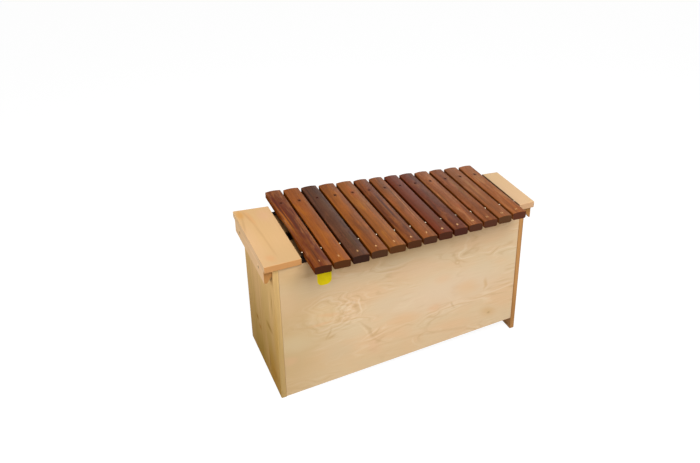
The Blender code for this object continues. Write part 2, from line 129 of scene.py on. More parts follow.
def start_material(name: str, **sockets: Any) -> tuple[bpy.types.Material, bpy.types.NodeTree, bpy.types.Node]:
    """Starts a material from a Principled shader.

    Args:
        name: The material's name.
        **sockets: Values for the shader's own sockets, with underscores for the spaces in their names.

    Returns:
        The material, its node tree and its shader.
    """
    material = bpy.data.materials.new(name)
    material.use_nodes = True
    shader = material.node_tree.nodes["Principled BSDF"]
    connect(shader, {socket.replace("_", " "): value for socket, value in sockets.items()})
    return material, material.node_tree, shader


class Grain(Enum):
    """The way that a board's fibres run."""

    ALONG_ROW = (1.0, 0.0, 0.0)
    TO_PLAYER = (0.0, 1.0, 0.0)
    UPRIGHT = (0.0, 0.0, 1.0)

    def scale(self, along: float, across: float) -> Triple:
        """Gives a vector with one factor along the fibres and another across them."""
        return tuple(along if axis else across for axis in self.value)


@dataclass(frozen=True)
class Spot:
    """A soft spot or streak of another tone in the wood: its middle, its half sizes along its own axes, its tone,
    how strongly it shows and, in degrees, how its axes are turned."""

    centre: Triple
    reach: Triple
    tone: str
    strength: float
    turn: Triple = (0.0, 0.0, 0.0)


def spotted(tree: bpy.types.NodeTree, place: Any, colour: Any, spots: Sequence[Spot]) -> Any:
    """Lays soft spots over a colour.

    Args:
        tree: The material's node tree.
        place: The node or socket that gives the place in the wood.
        colour: The node that gives the colour under the spots.
        spots: The spots.

    Returns:
        The node that gives the colour with the spots.
    """
    for spot in spots:
        turn = tuple(math.radians(angle) for angle in spot.turn)
        local = add_node(tree, "Mapping", {"Vector": place, "Location": spot.centre, "Rotation": turn,
                                           "Scale": spot.reach}, vector_type="TEXTURE")
        distance = add_node(tree, "VectorMath", {0: local}, operation="LENGTH")
        share = add_node(tree, "MapRange", {"Value": distance, "From Min": 0.1, "From Max": 1.0,
                                            "To Min": spot.strength, "To Max": 0.0},
                         interpolation_type="SMOOTHSTEP")
        colour = add_node(tree, "Mix", {"Factor": share, "A": colour, "B": linear(spot.tone)}, data_type="RGBA")
    return colour


@dataclass(frozen=True)
class SolidPine:
    """Solid pine, planed and oiled. Each yearly ring has pale spring wood and a thin darker line of summer wood,
    so the board shows long soft lines. Its ends are darker, because the cut pores take up more oil."""

    name: str
    grain: Grain
    heart: Triple
    seed: float = 0.0
    pale: str = "#DBB280"
    cloud: str = "#DFB588"
    line: str = "#CB9E68"
    end: str = "#C58E58"
    ring: float = 9.0 * MM
    strength: float = 0.35
    wander: float = 14.0 * MM
    fibre: float = 1.2 * MM
    spots: tuple[Spot, ...] = ()
    roughness: float = 0.5
    gloss: float = 0.1

    def material(self) -> bpy.types.Material:
        """Builds the material from rings round the heart, soft clouds, fibres and the ends' darker tone."""
        material, tree, shader = start_material(self.name, Roughness=self.roughness, IOR=1.45,
                                                Specular_IOR_Level=self.gloss)
        places = add_node(tree, "TexCoord")
        place = places.outputs["Object"]
        seeded = add_node(tree, "VectorMath", {0: place, 1: (self.seed,) * 3}, operation="ADD")
        slow = add_node(tree, "VectorMath", {0: seeded, 1: self.grain.scale(2.4, 9.0)}, operation="MULTIPLY")
        bend = add_node(tree, "TexNoise", {"Vector": slow, "Scale": 1.0, "Detail": 2.0})
        shift = add_node(tree, "VectorMath", {0: bend.outputs["Color"], 1: (0.5,) * 3}, operation="SUBTRACT")
        bent = add_node(tree, "VectorMath", {0: shift, 1: (self.wander,) * 3, 2: place}, operation="MULTIPLY_ADD")
        offset = add_node(tree, "VectorMath", {0: bent, 1: self.heart}, operation="SUBTRACT")
        flat = add_node(tree, "VectorMath", {0: offset, 1: self.grain.scale(0.0, 1.0)}, operation="MULTIPLY")
        radius = add_node(tree, "VectorMath", {0: flat}, operation="LENGTH")
        years = add_node(tree, "Math", {0: radius, 1: self.ring}, operation="DIVIDE")
        year = add_node(tree, "Math", {0: years}, operation="FRACT")
        rings = add_node(tree, "ValToRGB", {"Fac": year},
                         stops=[(0.0, 0.0), (1.0, 0.0), (0.40, 0.10), (0.84, 0.75), (0.93, 1.0)])
        broad = add_node(tree, "VectorMath", {0: seeded, 1: self.grain.scale(5.0, 28.0)}, operation="MULTIPLY")
        clouds = add_node(tree, "TexNoise", {"Vector": broad, "Scale": 1.0, "Detail": 2.0})
        uneven = add_node(tree, "Math", {0: rings, 1: clouds}, operation="MULTIPLY")
        drawn = add_node(tree, "Math", {0: uneven, 1: 1.7 * self.strength}, operation="MULTIPLY")
        fine = add_node(tree, "VectorMath", {0: place, 1: self.grain.scale(0.02 / self.fibre, 1.0 / self.fibre)},
                        operation="MULTIPLY")
        fibres = add_node(tree, "TexNoise", {"Vector": fine, "Scale": 1.0, "Detail": 3.0})
        streaks = add_node(tree, "MapRange", {"Value": fibres, "From Min": 0.4, "From Max": 0.8, "To Max": 0.3})
        total = add_node(tree, "Math", {0: drawn, 1: streaks}, operation="ADD", use_clamp=True)
        ends = add_node(tree, "VectorMath", {0: places.outputs["Normal"], 1: self.grain.value},
                        operation="DOT_PRODUCT")
        facing = add_node(tree, "Math", {0: ends}, operation="ABSOLUTE")
        is_end = add_node(tree, "MapRange", {"Value": facing, "From Min": 0.6, "From Max": 0.9})
        cloudy = add_node(tree, "MapRange", {"Value": bend, "From Min": 0.38, "From Max": 0.62},
                          interpolation_type="SMOOTHSTEP")
        ground = add_node(tree, "Mix", {"Factor": cloudy, "A": linear(self.pale), "B": linear(self.cloud)},
                          data_type="RGBA")
        side = add_node(tree, "Mix", {"Factor": total, "A": ground, "B": linear(self.line)}, data_type="RGBA")
        marked = spotted(tree, bent, side, self.spots)
        colour = add_node(tree, "Mix", {"Factor": is_end, "A": marked, "B": linear(self.end)}, data_type="RGBA")
        bump = add_node(tree, "Bump", {"Height": total, "Strength": 0.12, "Distance": 0.2 * MM})
        connect(shader, {"Base Color": colour, "Normal": bump})
        return material


@dataclass(frozen=True)
class PeeledPlywood:
    """Pine plywood. Its face veneer is peeled off the turning log, so the knife meets each yearly ring at a flat
    angle and draws it as a faint, wildly wandering contour, with warm patches of resin and small knots. Its edges
    show the crossed layers."""

    name: str
    across: Triple
    figure: Triple
    figure_reach: tuple[float, float] = (170.0 * MM, 105.0 * MM)
    figure_lines: float = 6.0
    contours: float = 13.0
    seed: float = 0.0
    pale: str = "#DFC49F"
    cool: str = "#DCC5A2"
    warm: str = "#E2BF97"
    line: str = "#C29A6A"
    gleam: str = "#F0DDC0"
    layer: str = "#A97F50"
    layer_thickness: float = 1.6 * MM
    spots: tuple[Spot, ...] = ()
    roughness: float = 0.55
    gloss: float = 0.1

    def rippled(self, tree: bpy.types.NodeTree, colour: Any, field: Any, strength: Any) -> bpy.types.Node:
        """Lays a field's contours over a colour, each as a soft dark line with a pale one beside it.

        Args:
            tree: The material's node tree.
            colour: The node that gives the colour below.
            field: The node that gives the field, in lines.
            strength: The node that gives how strongly the lines show.

        Returns:
            The node that gives the colour.
        """
        angle = add_node(tree, "Math", {0: field, 1: math.tau}, operation="MULTIPLY")
        wave = add_node(tree, "Math", {0: angle}, operation="SINE")
        shown = add_node(tree, "Math", {0: wave, 1: strength}, operation="MULTIPLY")
        low = add_node(tree, "MapRange", {"Value": shown, "From Min": 0.25})
        high = add_node(tree, "MapRange", {"Value": shown, "From Min": -0.25, "From Max": -1.0})
        lined = add_node(tree, "Mix", {"Factor": low, "A": colour, "B": linear(self.line)}, data_type="RGBA")
        return add_node(tree, "Mix", {"Factor": high, "A": lined, "B": linear(self.gleam)}, data_type="RGBA")

    def material(self) -> bpy.types.Material:
        """Builds the material from clouds, ripples, spots, fibres and the layers at the edges."""
        material, tree, shader = start_material(self.name, Roughness=self.roughness, IOR=1.45,
                                                Specular_IOR_Level=self.gloss)
        places = add_node(tree, "TexCoord")
        place = places.outputs["Object"]
        seeded = add_node(tree, "VectorMath", {0: place, 1: (self.seed, 0.0, self.seed)}, operation="ADD")
        slow = add_node(tree, "VectorMath", {0: seeded, 1: (2.6, 0.0, 9.0)}, operation="MULTIPLY")
        relief = add_node(tree, "TexNoise", {"Vector": slow, "Scale": 1.0, "Detail": 3.0, "Distortion": 0.4})
        quick = add_node(tree, "VectorMath", {0: seeded, 1: (7.0, 0.0, 16.0)}, operation="MULTIPLY")
        clouds = add_node(tree, "TexNoise", {"Vector": quick, "Scale": 1.0, "Detail": 3.0, "Distortion": 0.3})
        shift = add_node(tree, "VectorMath", {0: clouds.outputs["Color"], 1: (0.5,) * 3}, operation="SUBTRACT")
        bent = add_node(tree, "VectorMath", {0: shift, 1: (130.0 * MM, 0.0, 80.0 * MM), 2: place},
                        operation="MULTIPLY_ADD")
        centred = add_node(tree, "VectorMath", {0: bent, 1: self.figure}, operation="SUBTRACT")
        length, height = self.figure_reach
        scaled = add_node(tree, "VectorMath", {0: centred, 1: (1.0 / length, 0.0, 1.0 / height)},
                          operation="MULTIPLY")
        radius = add_node(tree, "VectorMath", {0: scaled}, operation="LENGTH")
        bulge = add_node(tree, "Math", {0: relief, 1: 1.2, 2: radius}, operation="MULTIPLY_ADD")
        around = add_node(tree, "Math", {0: bulge, 1: self.figure_lines}, operation="MULTIPLY")
        fading = add_node(tree, "MapRange", {"Value": radius, "From Min": 0.4, "From Max": 1.2, "To Min": 0.5,
                                             "To Max": 0.1}, interpolation_type="SMOOTHSTEP")
        levels = add_node(tree, "Math", {0: relief, 1: self.contours}, operation="MULTIPLY")
        patches = add_node(tree, "MapRange", {"Value": clouds, "From Min": 0.44, "From Max": 0.66, "To Min": 0.25,
                                              "To Max": 0.55}, interpolation_type="SMOOTHSTEP")
        tint = add_node(tree, "MapRange", {"Value": clouds.outputs["Color"], "From Min": 0.35, "From Max": 0.65},
                        interpolation_type="SMOOTHSTEP")
        chill = add_node(tree, "MapRange", {"Value": relief, "From Min": 0.50, "From Max": 0.70},
                         interpolation_type="SMOOTHSTEP")
        ground = add_node(tree, "Mix", {"Factor": tint, "A": linear(self.pale), "B": linear(self.warm)},
                          data_type="RGBA")
        patchy = add_node(tree, "Mix", {"Factor": chill, "A": ground, "B": linear(self.cool)}, data_type="RGBA")
        wavy = self.rippled(tree, patchy, levels, patches)
        whorled = self.rippled(tree, wavy, around, fading)
        fine = add_node(tree, "VectorMath", {0: place, 1: (14.0, 0.0, 420.0)}, operation="MULTIPLY")
        fibres = add_node(tree, "TexNoise", {"Vector": fine, "Scale": 1.0, "Detail": 2.0})
        streaks = add_node(tree, "MapRange", {"Value": fibres, "From Min": 0.35, "From Max": 0.75, "To Max": 0.2})
        veneer = add_node(tree, "Mix", {"Factor": streaks, "A": whorled, "B": linear(self.line)}, data_type="RGBA")
        near = add_node(tree, "VectorMath", {0: shift, 1: (40.0 * MM, 0.0, 24.0 * MM), 2: place},
                        operation="MULTIPLY_ADD")
        face = spotted(tree, near, veneer, self.spots)
        depth = add_node(tree, "VectorMath", {0: place, 1: self.across}, operation="DOT_PRODUCT")
        layers = add_node(tree, "Math", {0: depth, 1: 0.5 / self.layer_thickness}, operation="MULTIPLY")
        layer = add_node(tree, "Math", {0: layers}, operation="FRACT")
        crossed = add_node(tree, "Math", {0: layer, 1: 0.5}, operation="GREATER_THAN")
        edge = add_node(tree, "Mix", {"Factor": crossed, "A": linear(self.line), "B": linear(self.layer)},
                        data_type="RGBA")
        turned = add_node(tree, "VectorMath", {0: places.outputs["Normal"], 1: self.across},
                          operation="DOT_PRODUCT")
        facing = add_node(tree, "Math", {0: turned}, operation="ABSOLUTE")
        is_face = add_node(tree, "Math", {0: facing, 1: 0.5}, operation="GREATER_THAN")
        colour = add_node(tree, "Mix", {"Factor": is_face, "A": edge, "B": face}, data_type="RGBA")
        bump = add_node(tree, "Bump", {"Height": streaks, "Strength": 0.2, "Distance": 0.15 * MM})
        connect(shader, {"Base Color": colour, "Normal": bump})
        return material


@dataclass(frozen=True)
class Rosewood:
    """Planed rosewood, oiled on top, so that only its top has a soft gloss. Bands of pigment run along the bar, open
    pores show as short dark dashes, and the ends are much darker, because they are cut across the pores. A dark
    patch round the pin hole is painted shade, which stands in for the shade inside the hole."""

    name: str
    base: str
    deep: str
    warm: str
    end: str
    figure: float
    seed: float
    streaks: tuple[Spot, ...]
    rim: Spot
    pore_width: float = 1.0 * MM
    pore_length: float = 14.0 * MM
    roughness: float = 0.34
    gloss: float = 0.06

    def material(self) -> bpy.types.Material:
        """Builds the material from bands, mottles, streaks, pores, the painted shade round the pin hole and the ends'
        darker tone.
        """
        material, tree, shader = start_material(self.name, IOR=1.45)
        places = add_node(tree, "TexCoord")
        place = places.outputs["Object"]
        seeded = add_node(tree, "VectorMath", {0: place, 1: (self.seed, 0.7 * self.seed, 0.0)}, operation="ADD")
        long_way = add_node(tree, "VectorMath", {0: seeded, 1: (85.0, 5.0, 85.0)}, operation="MULTIPLY")
        bands = add_node(tree, "TexNoise", {"Vector": long_way, "Scale": 1.0, "Detail": 3.0, "Distortion": 0.6})
        banding = add_node(tree, "MapRange", {"Value": bands, "From Min": 0.42, "From Max": 0.66,
                                              "To Max": self.figure}, interpolation_type="SMOOTHSTEP")
        dark = add_node(tree, "Mix", {"Factor": banding, "A": linear(self.base), "B": linear(self.deep)},
                        data_type="RGBA")
        wide = add_node(tree, "VectorMath", {0: seeded, 1: (48.0, 9.0, 48.0)}, operation="MULTIPLY")
        mottle = add_node(tree, "TexNoise", {"Vector": wide, "Scale": 1.0, "Detail": 3.0, "Distortion": 0.5})
        glow = add_node(tree, "MapRange", {"Value": mottle.outputs["Color"], "From Min": 0.48, "From Max": 0.66,
                                           "To Max": 0.85}, interpolation_type="SMOOTHSTEP")
        lively = add_node(tree, "Mix", {"Factor": glow, "A": dark, "B": linear(self.warm)}, data_type="RGBA")
        shift = add_node(tree, "VectorMath", {0: bands.outputs["Color"], 1: (0.5,) * 3}, operation="SUBTRACT")
        near = add_node(tree, "VectorMath", {0: shift, 1: (7.0 * MM, 60.0 * MM, 0.0), 2: place},
                        operation="MULTIPLY_ADD")
        marked = spotted(tree, near, lively, self.streaks)
        thin = add_node(tree, "VectorMath", {0: seeded, 1: (260.0, 7.0, 260.0)}, operation="MULTIPLY")
        threads = add_node(tree, "TexNoise", {"Vector": thin, "Scale": 1.0, "Detail": 2.0})
        shade = add_node(tree, "MapRange", {"Value": threads, "From Min": 0.3, "From Max": 0.7, "To Min": 0.78,
                                            "To Max": 1.2})
        threaded = add_node(tree, "VectorMath", {0: marked, "Scale": shade}, operation="SCALE")
        short = add_node(tree, "VectorMath", {0: seeded, 1: (1.0 / self.pore_width, 1.0 / self.pore_length,
                                                             1.0 / self.pore_width)}, operation="MULTIPLY")
        pores = add_node(tree, "TexNoise", {"Vector": short, "Scale": 1.0, "Detail": 2.0})
        open_pore = add_node(tree, "MapRange", {"Value": pores, "From Min": 0.54, "From Max": 0.72, "To Max": 0.7})
        pored = add_node(tree, "Mix", {"Factor": open_pore, "A": threaded, "B": linear(self.deep)}, data_type="RGBA")
        # Painted shade round the pin hole, standing in for the shade inside it.
        side = spotted(tree, place, pored, (self.rim,))
        facing = add_node(tree, "VectorMath", {0: places.outputs["Normal"], 1: Grain.TO_PLAYER.value},
                          operation="DOT_PRODUCT")
        turned = add_node(tree, "Math", {0: facing}, operation="ABSOLUTE")
        is_end = add_node(tree, "MapRange", {"Value": turned, "From Min": 0.55, "From Max": 0.9})
        colour = add_node(tree, "Mix", {"Factor": is_end, "A": side, "B": linear(self.end)}, data_type="RGBA")
        sheen = add_node(tree, "MapRange", {"Value": open_pore, "To Min": self.roughness, "To Max": 0.75})
        up = add_node(tree, "SeparateXYZ", {0: places.outputs["Normal"]})
        oil = add_node(tree, "MapRange", {"Value": up.outputs["Z"], "From Min": 0.1, "From Max": 0.8,
                                          "To Max": self.gloss})
        bump = add_node(tree, "Bump", {"Height": open_pore, "Strength": 0.15, "Distance": 0.2 * MM}, invert=True)
        connect(shader, {"Base Color": colour, "Roughness": sheen, "Specular IOR Level": oil, "Normal": bump})
        return material


@dataclass(frozen=True)
class ThinSurface:
    """A plain surface with a slight grain: stained wood, rubber, vinyl, felt or plated metal. Two tones mix in a
    noise whose size is that of the real grain, which also sets the bump."""

    name: str
    tone: str
    other: str
    grain: Triple
    roughness: float
    metallic: float = 0.0
    gloss: float = 0.5
    sheen: float = 0.0
    bump: float = 0.1
    relief: float = 0.2 * MM

    def material(self) -> bpy.types.Material:
        """Builds the material from one noise."""
        material, tree, shader = start_material(self.name, Roughness=self.roughness, Metallic=self.metallic,
                                                Specular_IOR_Level=self.gloss, Sheen_Weight=self.sheen)
        place = add_node(tree, "TexCoord").outputs["Object"]
        scaled = add_node(tree, "VectorMath", {0: place, 1: tuple(1.0 / size for size in self.grain)},
                          operation="MULTIPLY")
        noise = add_node(tree, "TexNoise", {"Vector": scaled, "Scale": 1.0, "Detail": 3.0})
        mixed = add_node(tree, "MapRange", {"Value": noise, "From Min": 0.35, "From Max": 0.65})
        colour = add_node(tree, "Mix", {"Factor": mixed, "A": linear(self.tone), "B": linear(self.other)},
                          data_type="RGBA")
        bump = add_node(tree, "Bump", {"Height": noise, "Strength": self.bump, "Distance": self.relief})
        connect(shader, {"Base Color": colour, "Normal": bump})
        return material


def arc(centre: tuple[float, float], radius: float, first: float, last: float, steps: int) -> Outline:
    """Draws an arc.

    Args:
        centre: Its centre.
        radius: Its radius.
        first: Its first angle, in degrees.
        last: Its last angle, in degrees.
        steps: How many straight pieces it has.

    Returns:
        Its points.
    """
    angles = [math.radians(first + (last - first) * step / steps) for step in range(steps + 1)]
    return [(centre[0] + radius * math.cos(a), centre[1] + radius * math.sin(a)) for a in angles]


def loft(rings: Sequence[Ring], closed: bool = False) -> bmesh.types.BMesh:
    """Joins rings of points with faces.

    Args:
        rings: Rings with as many points each.
        closed: Whether the last ring joins the first. Otherwise each end gets a face.

    Returns:
        The new mesh data.
    """
    bm = bmesh.new()
    rows = [[bm.verts.new(point) for point in ring] for ring in rings]
    pairs = list(zip(rows, rows[1:]))
    if closed:
        pairs.append((rows[-1], rows[0]))
    else:
        bm.faces.new(rows[0][::-1])
        bm.faces.new(rows[-1])
    for row, following in pairs:
        for index in range(len(row)):
            bm.faces.new((row[index - 1], row[index], following[index], following[index - 1]))
    return bm


def turned(profile: Outline, segments: int, closed: bool = False) -> bmesh.types.BMesh:
    """Turns a profile round the z axis.

    Args:
        profile: Radii and heights.
        segments: How many points go round.
        closed: Whether the profile is a closed line, as for a tube.

    Returns:
        The new mesh data.
    """
    circle = arc((0.0, 0.0), 1.0, 0.0, 360.0, segments)[:-1]
    return loft([[Vector((radius * x, radius * y, height)) for x, y in circle] for radius, height in profile], closed)


def finish_mesh(bm: bmesh.types.BMesh, name: str, shift: Matrix | None = None) -> bpy.types.Mesh:
    """Turns mesh data to a mesh with smooth shading and its sharp edges kept.

    Args:
        bm: The mesh data, which is freed.
        name: The mesh's name.
        shift: Where the mesh goes.

    Returns:
        The mesh.
    """
    bmesh.ops.recalc_face_normals(bm, faces=bm.faces)
    mesh = bpy.data.meshes.new(name)
    bm.to_mesh(mesh)
    bm.free()
    if shift is not None:
        mesh.transform(shift)
    mesh.shade_smooth()
    mesh.set_sharp_from_angle(angle=SHARP)
    return mesh


def evaluated(helper: bpy.types.Object, others: Sequence[bpy.types.Object] = ()) -> bpy.types.Mesh:
    """Takes the mesh of a helper object with its modifiers and removes the object.

    Args:
        helper: The helper, which isn't in the scene yet.
        others: Objects that its modifiers use, which go too.

    Returns:
        The mesh.
    """
    helpers = [helper, *others]
    for item in helpers:
        bpy.context.scene.collection.objects.link(item)
    mesh = bpy.data.meshes.new_from_object(helper.evaluated_get(bpy.context.evaluated_depsgraph_get()))
    for item in helpers:
        bpy.data.objects.remove(item, do_unlink=True)
    return mesh


def carved(mesh: bpy.types.Mesh, cutters: Sequence[bpy.types.Mesh]) -> bpy.types.Mesh:
    """Cuts meshes out of a mesh.

    Args:
        mesh: The mesh to cut.
        cutters: What is cut out of it.

    Returns:
        The cut mesh.
    """
    helper = bpy.data.objects.new(mesh.name, mesh)
    others = [bpy.data.objects.new(cutter.name, cutter) for cutter in cutters]
    for other in others:
        boolean = helper.modifiers.new(other.name, "BOOLEAN")
        boolean.operation = "DIFFERENCE"
        boolean.solver = "EXACT"
        boolean.object = other
    cut = evaluated(helper, others)
    cut.shade_smooth()
    cut.set_sharp_from_angle(angle=SHARP)
    return cut


def place_piece(name: str, mesh: bpy.types.Mesh, material: bpy.types.Material, body: str = ROOT,
                stands_for: str = "") -> bpy.types.Object:
    """Adds a mesh to the scene as a piece of the instrument.

    Args:
        name: The piece's name.
        mesh: Its mesh, in the instrument's own frame.
        material: Its material.
        body: The body that it moves with.
        stands_for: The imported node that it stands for, if any.

    Returns:
        The piece.
    """
    mesh.materials.clear()
    mesh.materials.append(material)
    piece = bpy.data.objects.new(name, mesh)
    bpy.context.scene.collection.objects.link(piece)
    weighted = piece.modifiers.new("flat faces stay flat", "WEIGHTED_NORMAL")
    weighted.keep_sharp = True
    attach(piece, body)
    if stands_for:
        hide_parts(stands_for)
    LOG.info("%s: %d faces, on %s", name, len(mesh.polygons), body)
    return piece


def dress_node(name: str, material: bpy.types.Material) -> None:
    """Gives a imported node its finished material.

    Args:
        name: The node's name.
        material: The material.
    """
    for material_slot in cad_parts[name].material_slots:
        material_slot.material = material
    LOG.info("%s: dressed in %s", name, material.name)


@dataclass(frozen=True)
class BoxPlan:
    """The resonator box's outline seen from above. It narrows evenly towards the high notes."""

    left: float = -420.0 * MM
    right: float = 415.0 * MM
    left_depth: float = 345.0 * MM
    right_depth: float = 227.2 * MM
    middle: float = 3.0 * MM

    def half(self, x: float) -> float:
        """Gives half of the box's depth at x."""
        share = (x - self.left) / (self.right - self.left)
        return (self.left_depth + share * (self.right_depth - self.left_depth)) / 2

    def line(self, x: float, side: int, inset: float) -> float:
        """Gives the y, at x, of a line that runs a distance inside one long side of the box.

        Args:
            x: The place along the row.
            side: -1 for the player's side and 1 for the far one.
            inset: The distance inside the box's side, or outside it where negative.

        Returns:
            The line's y.
        """
        return self.middle + side * (self.half(x) - inset)

    def face(self, side: int) -> Matrix:
        """Gives the frame of one long side: its first axis runs along the side, its second up and its third out.

        Args:
            side: -1 for the player's side and 1 for the far one.

        Returns:
            The rotation, with no place.
        """
        slope = side * (self.right_depth - self.left_depth) / 2 / (self.right - self.left)
        along = Vector((1.0, slope, 0.0)).normalized()
        up = Vector((0.0, 0.0, 1.0))
        outward = along.cross(up)
        return Matrix((along, up, outward)).transposed().to_4x4()


PLAN = BoxPlan()


def tapered_board(name: str, ends: tuple[float, float], sides: Sequence[tuple[int, float]],
                  heights: tuple[float, float], rounding: float, segments: int = 4) -> bpy.types.Mesh:
    """Makes a board whose long sides follow the box's taper.

    Args:
        name: The mesh's name.
        ends: The x of its two ends.
        sides: Side and inset of each of its two long sides, as BoxPlan.line() reads them.
        heights: The z of its underside and its top.
        rounding: The radius of its edges.
        segments: The steps in each rounded edge.

    Returns:
        The board.
    """
    rings = []
    for x in ends:
        near, far = sorted(PLAN.line(x, side, inset) for side, inset in sides)
        low, high = heights
        rings.append([Vector((x, y, z)) for y, z in ((near, low), (far, low), (far, high), (near, high))])
    bm = loft(rings)
    bmesh.ops.bevel(bm, geom=bm.edges, offset=rounding, segments=segments, profile=0.5, affect="EDGES",
                    clamp_overlap=True)
    return finish_mesh(bm, name)


@dataclass(frozen=True)
class Streak:
    """A streak in a bar, in millimetres from the bar's middle: its place across the bar and along it, its half
    width and half length, its tone, how strongly it shows and how far it leans, in degrees."""

    across: float
    along: float
    half_width: float
    half_length: float
    tone: str
    strength: float
    lean: float = 0.0

    def spot(self, x: float) -> Spot:
        """Gives the streak as a spot of the wood of a bar whose middle line is at x."""
        reach = (self.half_width * MM, self.half_length * MM, ANY_HEIGHT)
        return Spot((x + self.across * MM, self.along * MM, 0.0), reach, self.tone, self.strength,
                    (0.0, 0.0, self.lean))


@dataclass(frozen=True)
class BarTone:
    """The colours of one bar, how strongly its bands show and its own streaks."""

    base: str
    deep: str
    warm: str
    end: str
    figure: float
    streaks: tuple[Streak, ...] = ()


@dataclass
class Bar:
    """One tuned bar: crowned on top, hollowed by its tuning arch and drilled for the pin of the far rail."""

    number: int
    tone: BarTone
    crown: float = 2.5 * MM
    edge: float = 1.3 * MM
    belly: float = 5.5 * MM
    rail_line: float = 45.0 * MM
    pin_inset: float = 13.0 * MM
    hole: float = 6.5 * MM
    power: float = 2.4
    oiled_rim: float = 9.0 * MM
    numeral_shift: float = -1.5 * MM
    numeral: float = 12.0 * MM
    two_digit_share: float = 0.78
    stroke_gain: float = 0.3 * MM
    numeral_inset: float = 0.057

    def __post_init__(self) -> None:
        """Reads the bar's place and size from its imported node."""
        self.node = f"bar_{self.number:02d}"
        self.low, self.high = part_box(self.node)
        self.x = (self.low.x + self.high.x) / 2
        self.half_width = (self.high.x - self.low.x) / 2
        self.thickness = self.high.z - self.low.z
        share = (self.x + 297.5 * MM) / (651.0 * MM)
        self.depth = (15.0 + share * (10.0 - 15.0)) * MM

    def top(self, x: float) -> float:
        """Gives the height of the crowned top over the underside, at x from the bar's middle line."""
        return self.thickness - self.crown * (x / self.half_width) ** 2

    def rise(self, y: float) -> float:
        """Gives the height of the tuning arch at y."""
        share = abs(y - PLAN.middle) / (PLAN.half(self.x) - self.rail_line)
        return self.depth * max(0.0, 1.0 - share ** self.power)

    def section(self, rise: float, inset: float) -> Outline:
        """Draws the bar's cross-section.

        Args:
            rise: The height of the arch there.
            inset: How far the section is drawn in, for the rounded ends.

        Returns:
            Its points, from the lower right corner round.
        """
        belly = max(self.belly - rise, 0.8 * MM)
        low = self.half_width - belly
        side = self.half_width - self.edge
        small = max(self.edge - inset, 0.05 * MM)
        shoulder = self.top(side) - self.edge
        lean = math.degrees(math.atan(2.0 * self.crown * side / self.half_width ** 2))
        start = side - 1.0 * MM
        points = arc((low, rise + belly), belly - inset, -90.0, 0.0, 6)
        points += arc((side, shoulder), small, 0.0, 90.0 - lean, 3)
        points += [(start * (1.0 - step / 6.0), self.top(start * (1.0 - step / 6.0)) - inset) for step in range(13)]
        points += arc((-side, shoulder), small, 90.0 + lean, 180.0, 3)
        points += arc((-low, rise + belly), belly - inset, 180.0, 270.0, 6)
        return points

    def stations(self) -> list[tuple[float, float]]:
        """Gives the places along the bar, each with its inset, closer together in the rounded ends."""
        angles = [math.radians(22.5 * step) for step in range(5)]
        ends = [(self.edge * (1.0 - math.cos(a)), self.edge * (1.0 - math.sin(a))) for a in angles]
        reach = PLAN.half(self.x) - self.rail_line
        arch = [(PLAN.middle + reach * math.sin(math.radians(90.0 * step / 22)), 0.0) for step in range(-22, 23)]
        first = [(self.low.y + along, inset) for along, inset in ends]
        last = [(self.high.y - along, inset) for along, inset in reversed(ends)]
        return first + arch + last

    def build(self) -> None:
        """Builds the bar and its numeral."""
        rings = [[Vector((self.x + x, y, self.low.z + z)) for x, z in self.section(self.rise(y), inset)]
                 for y, inset in self.stations()]
        mesh = finish_mesh(loft(rings), self.node)
        y = PLAN.line(self.x, 1, self.pin_inset)
        radius = self.hole / 2
        top = self.thickness + 1.0 * MM
        drill = turned([(radius, -1.0 * MM), (radius, self.thickness - 0.8 * MM), (radius + 2.0 * MM, top)], 24)
        cut = carved(mesh, [finish_mesh(drill, "drill", Matrix.Translation((self.x, y, self.low.z)))])
        body = self.node + "_body"
        # Painted shade: a dark patch round the pin hole stands in for the shade inside the hole.
        rim = Spot((self.x, y, 0.0), (self.oiled_rim, 1.5 * self.oiled_rim, ANY_HEIGHT), "#451703", 1.0)
        wood = Rosewood(f"rosewood_{self.number:02d}", self.tone.base, self.tone.deep, self.tone.warm,
                        self.tone.end, self.tone.figure, 1.37 * self.number,
                        tuple(streak.spot(self.x) for streak in self.tone.streaks), rim)
        place_piece(self.node + "_wood", cut, wood.material(), body, self.node)
        place_piece(self.node + "_numeral", self.numeral_mesh(), GOLD_FOIL.material(), body)

    def numeral_mesh(self) -> bpy.types.Mesh:
        """Makes the bar's number in foil, which lies on the crown and faces the player."""
        text = bpy.data.curves.new("numeral", "FONT")
        text.body = str(self.number)
        text.size = self.numeral if self.number < 10 else self.two_digit_share * self.numeral
        text.offset = self.stroke_gain
        text.align_x = "CENTER"
        text.align_y = "CENTER"
        text.extrude = 0.05 * MM
        mesh = evaluated(bpy.data.objects.new("numeral", text))
        y = self.low.y + self.numeral_inset * (self.high.y - self.low.y)
        for vert in mesh.vertices:
            across = vert.co.x + self.numeral_shift
            vert.co = (self.x + across, y + vert.co.y, self.low.z + self.top(across) + vert.co.z)
        return mesh


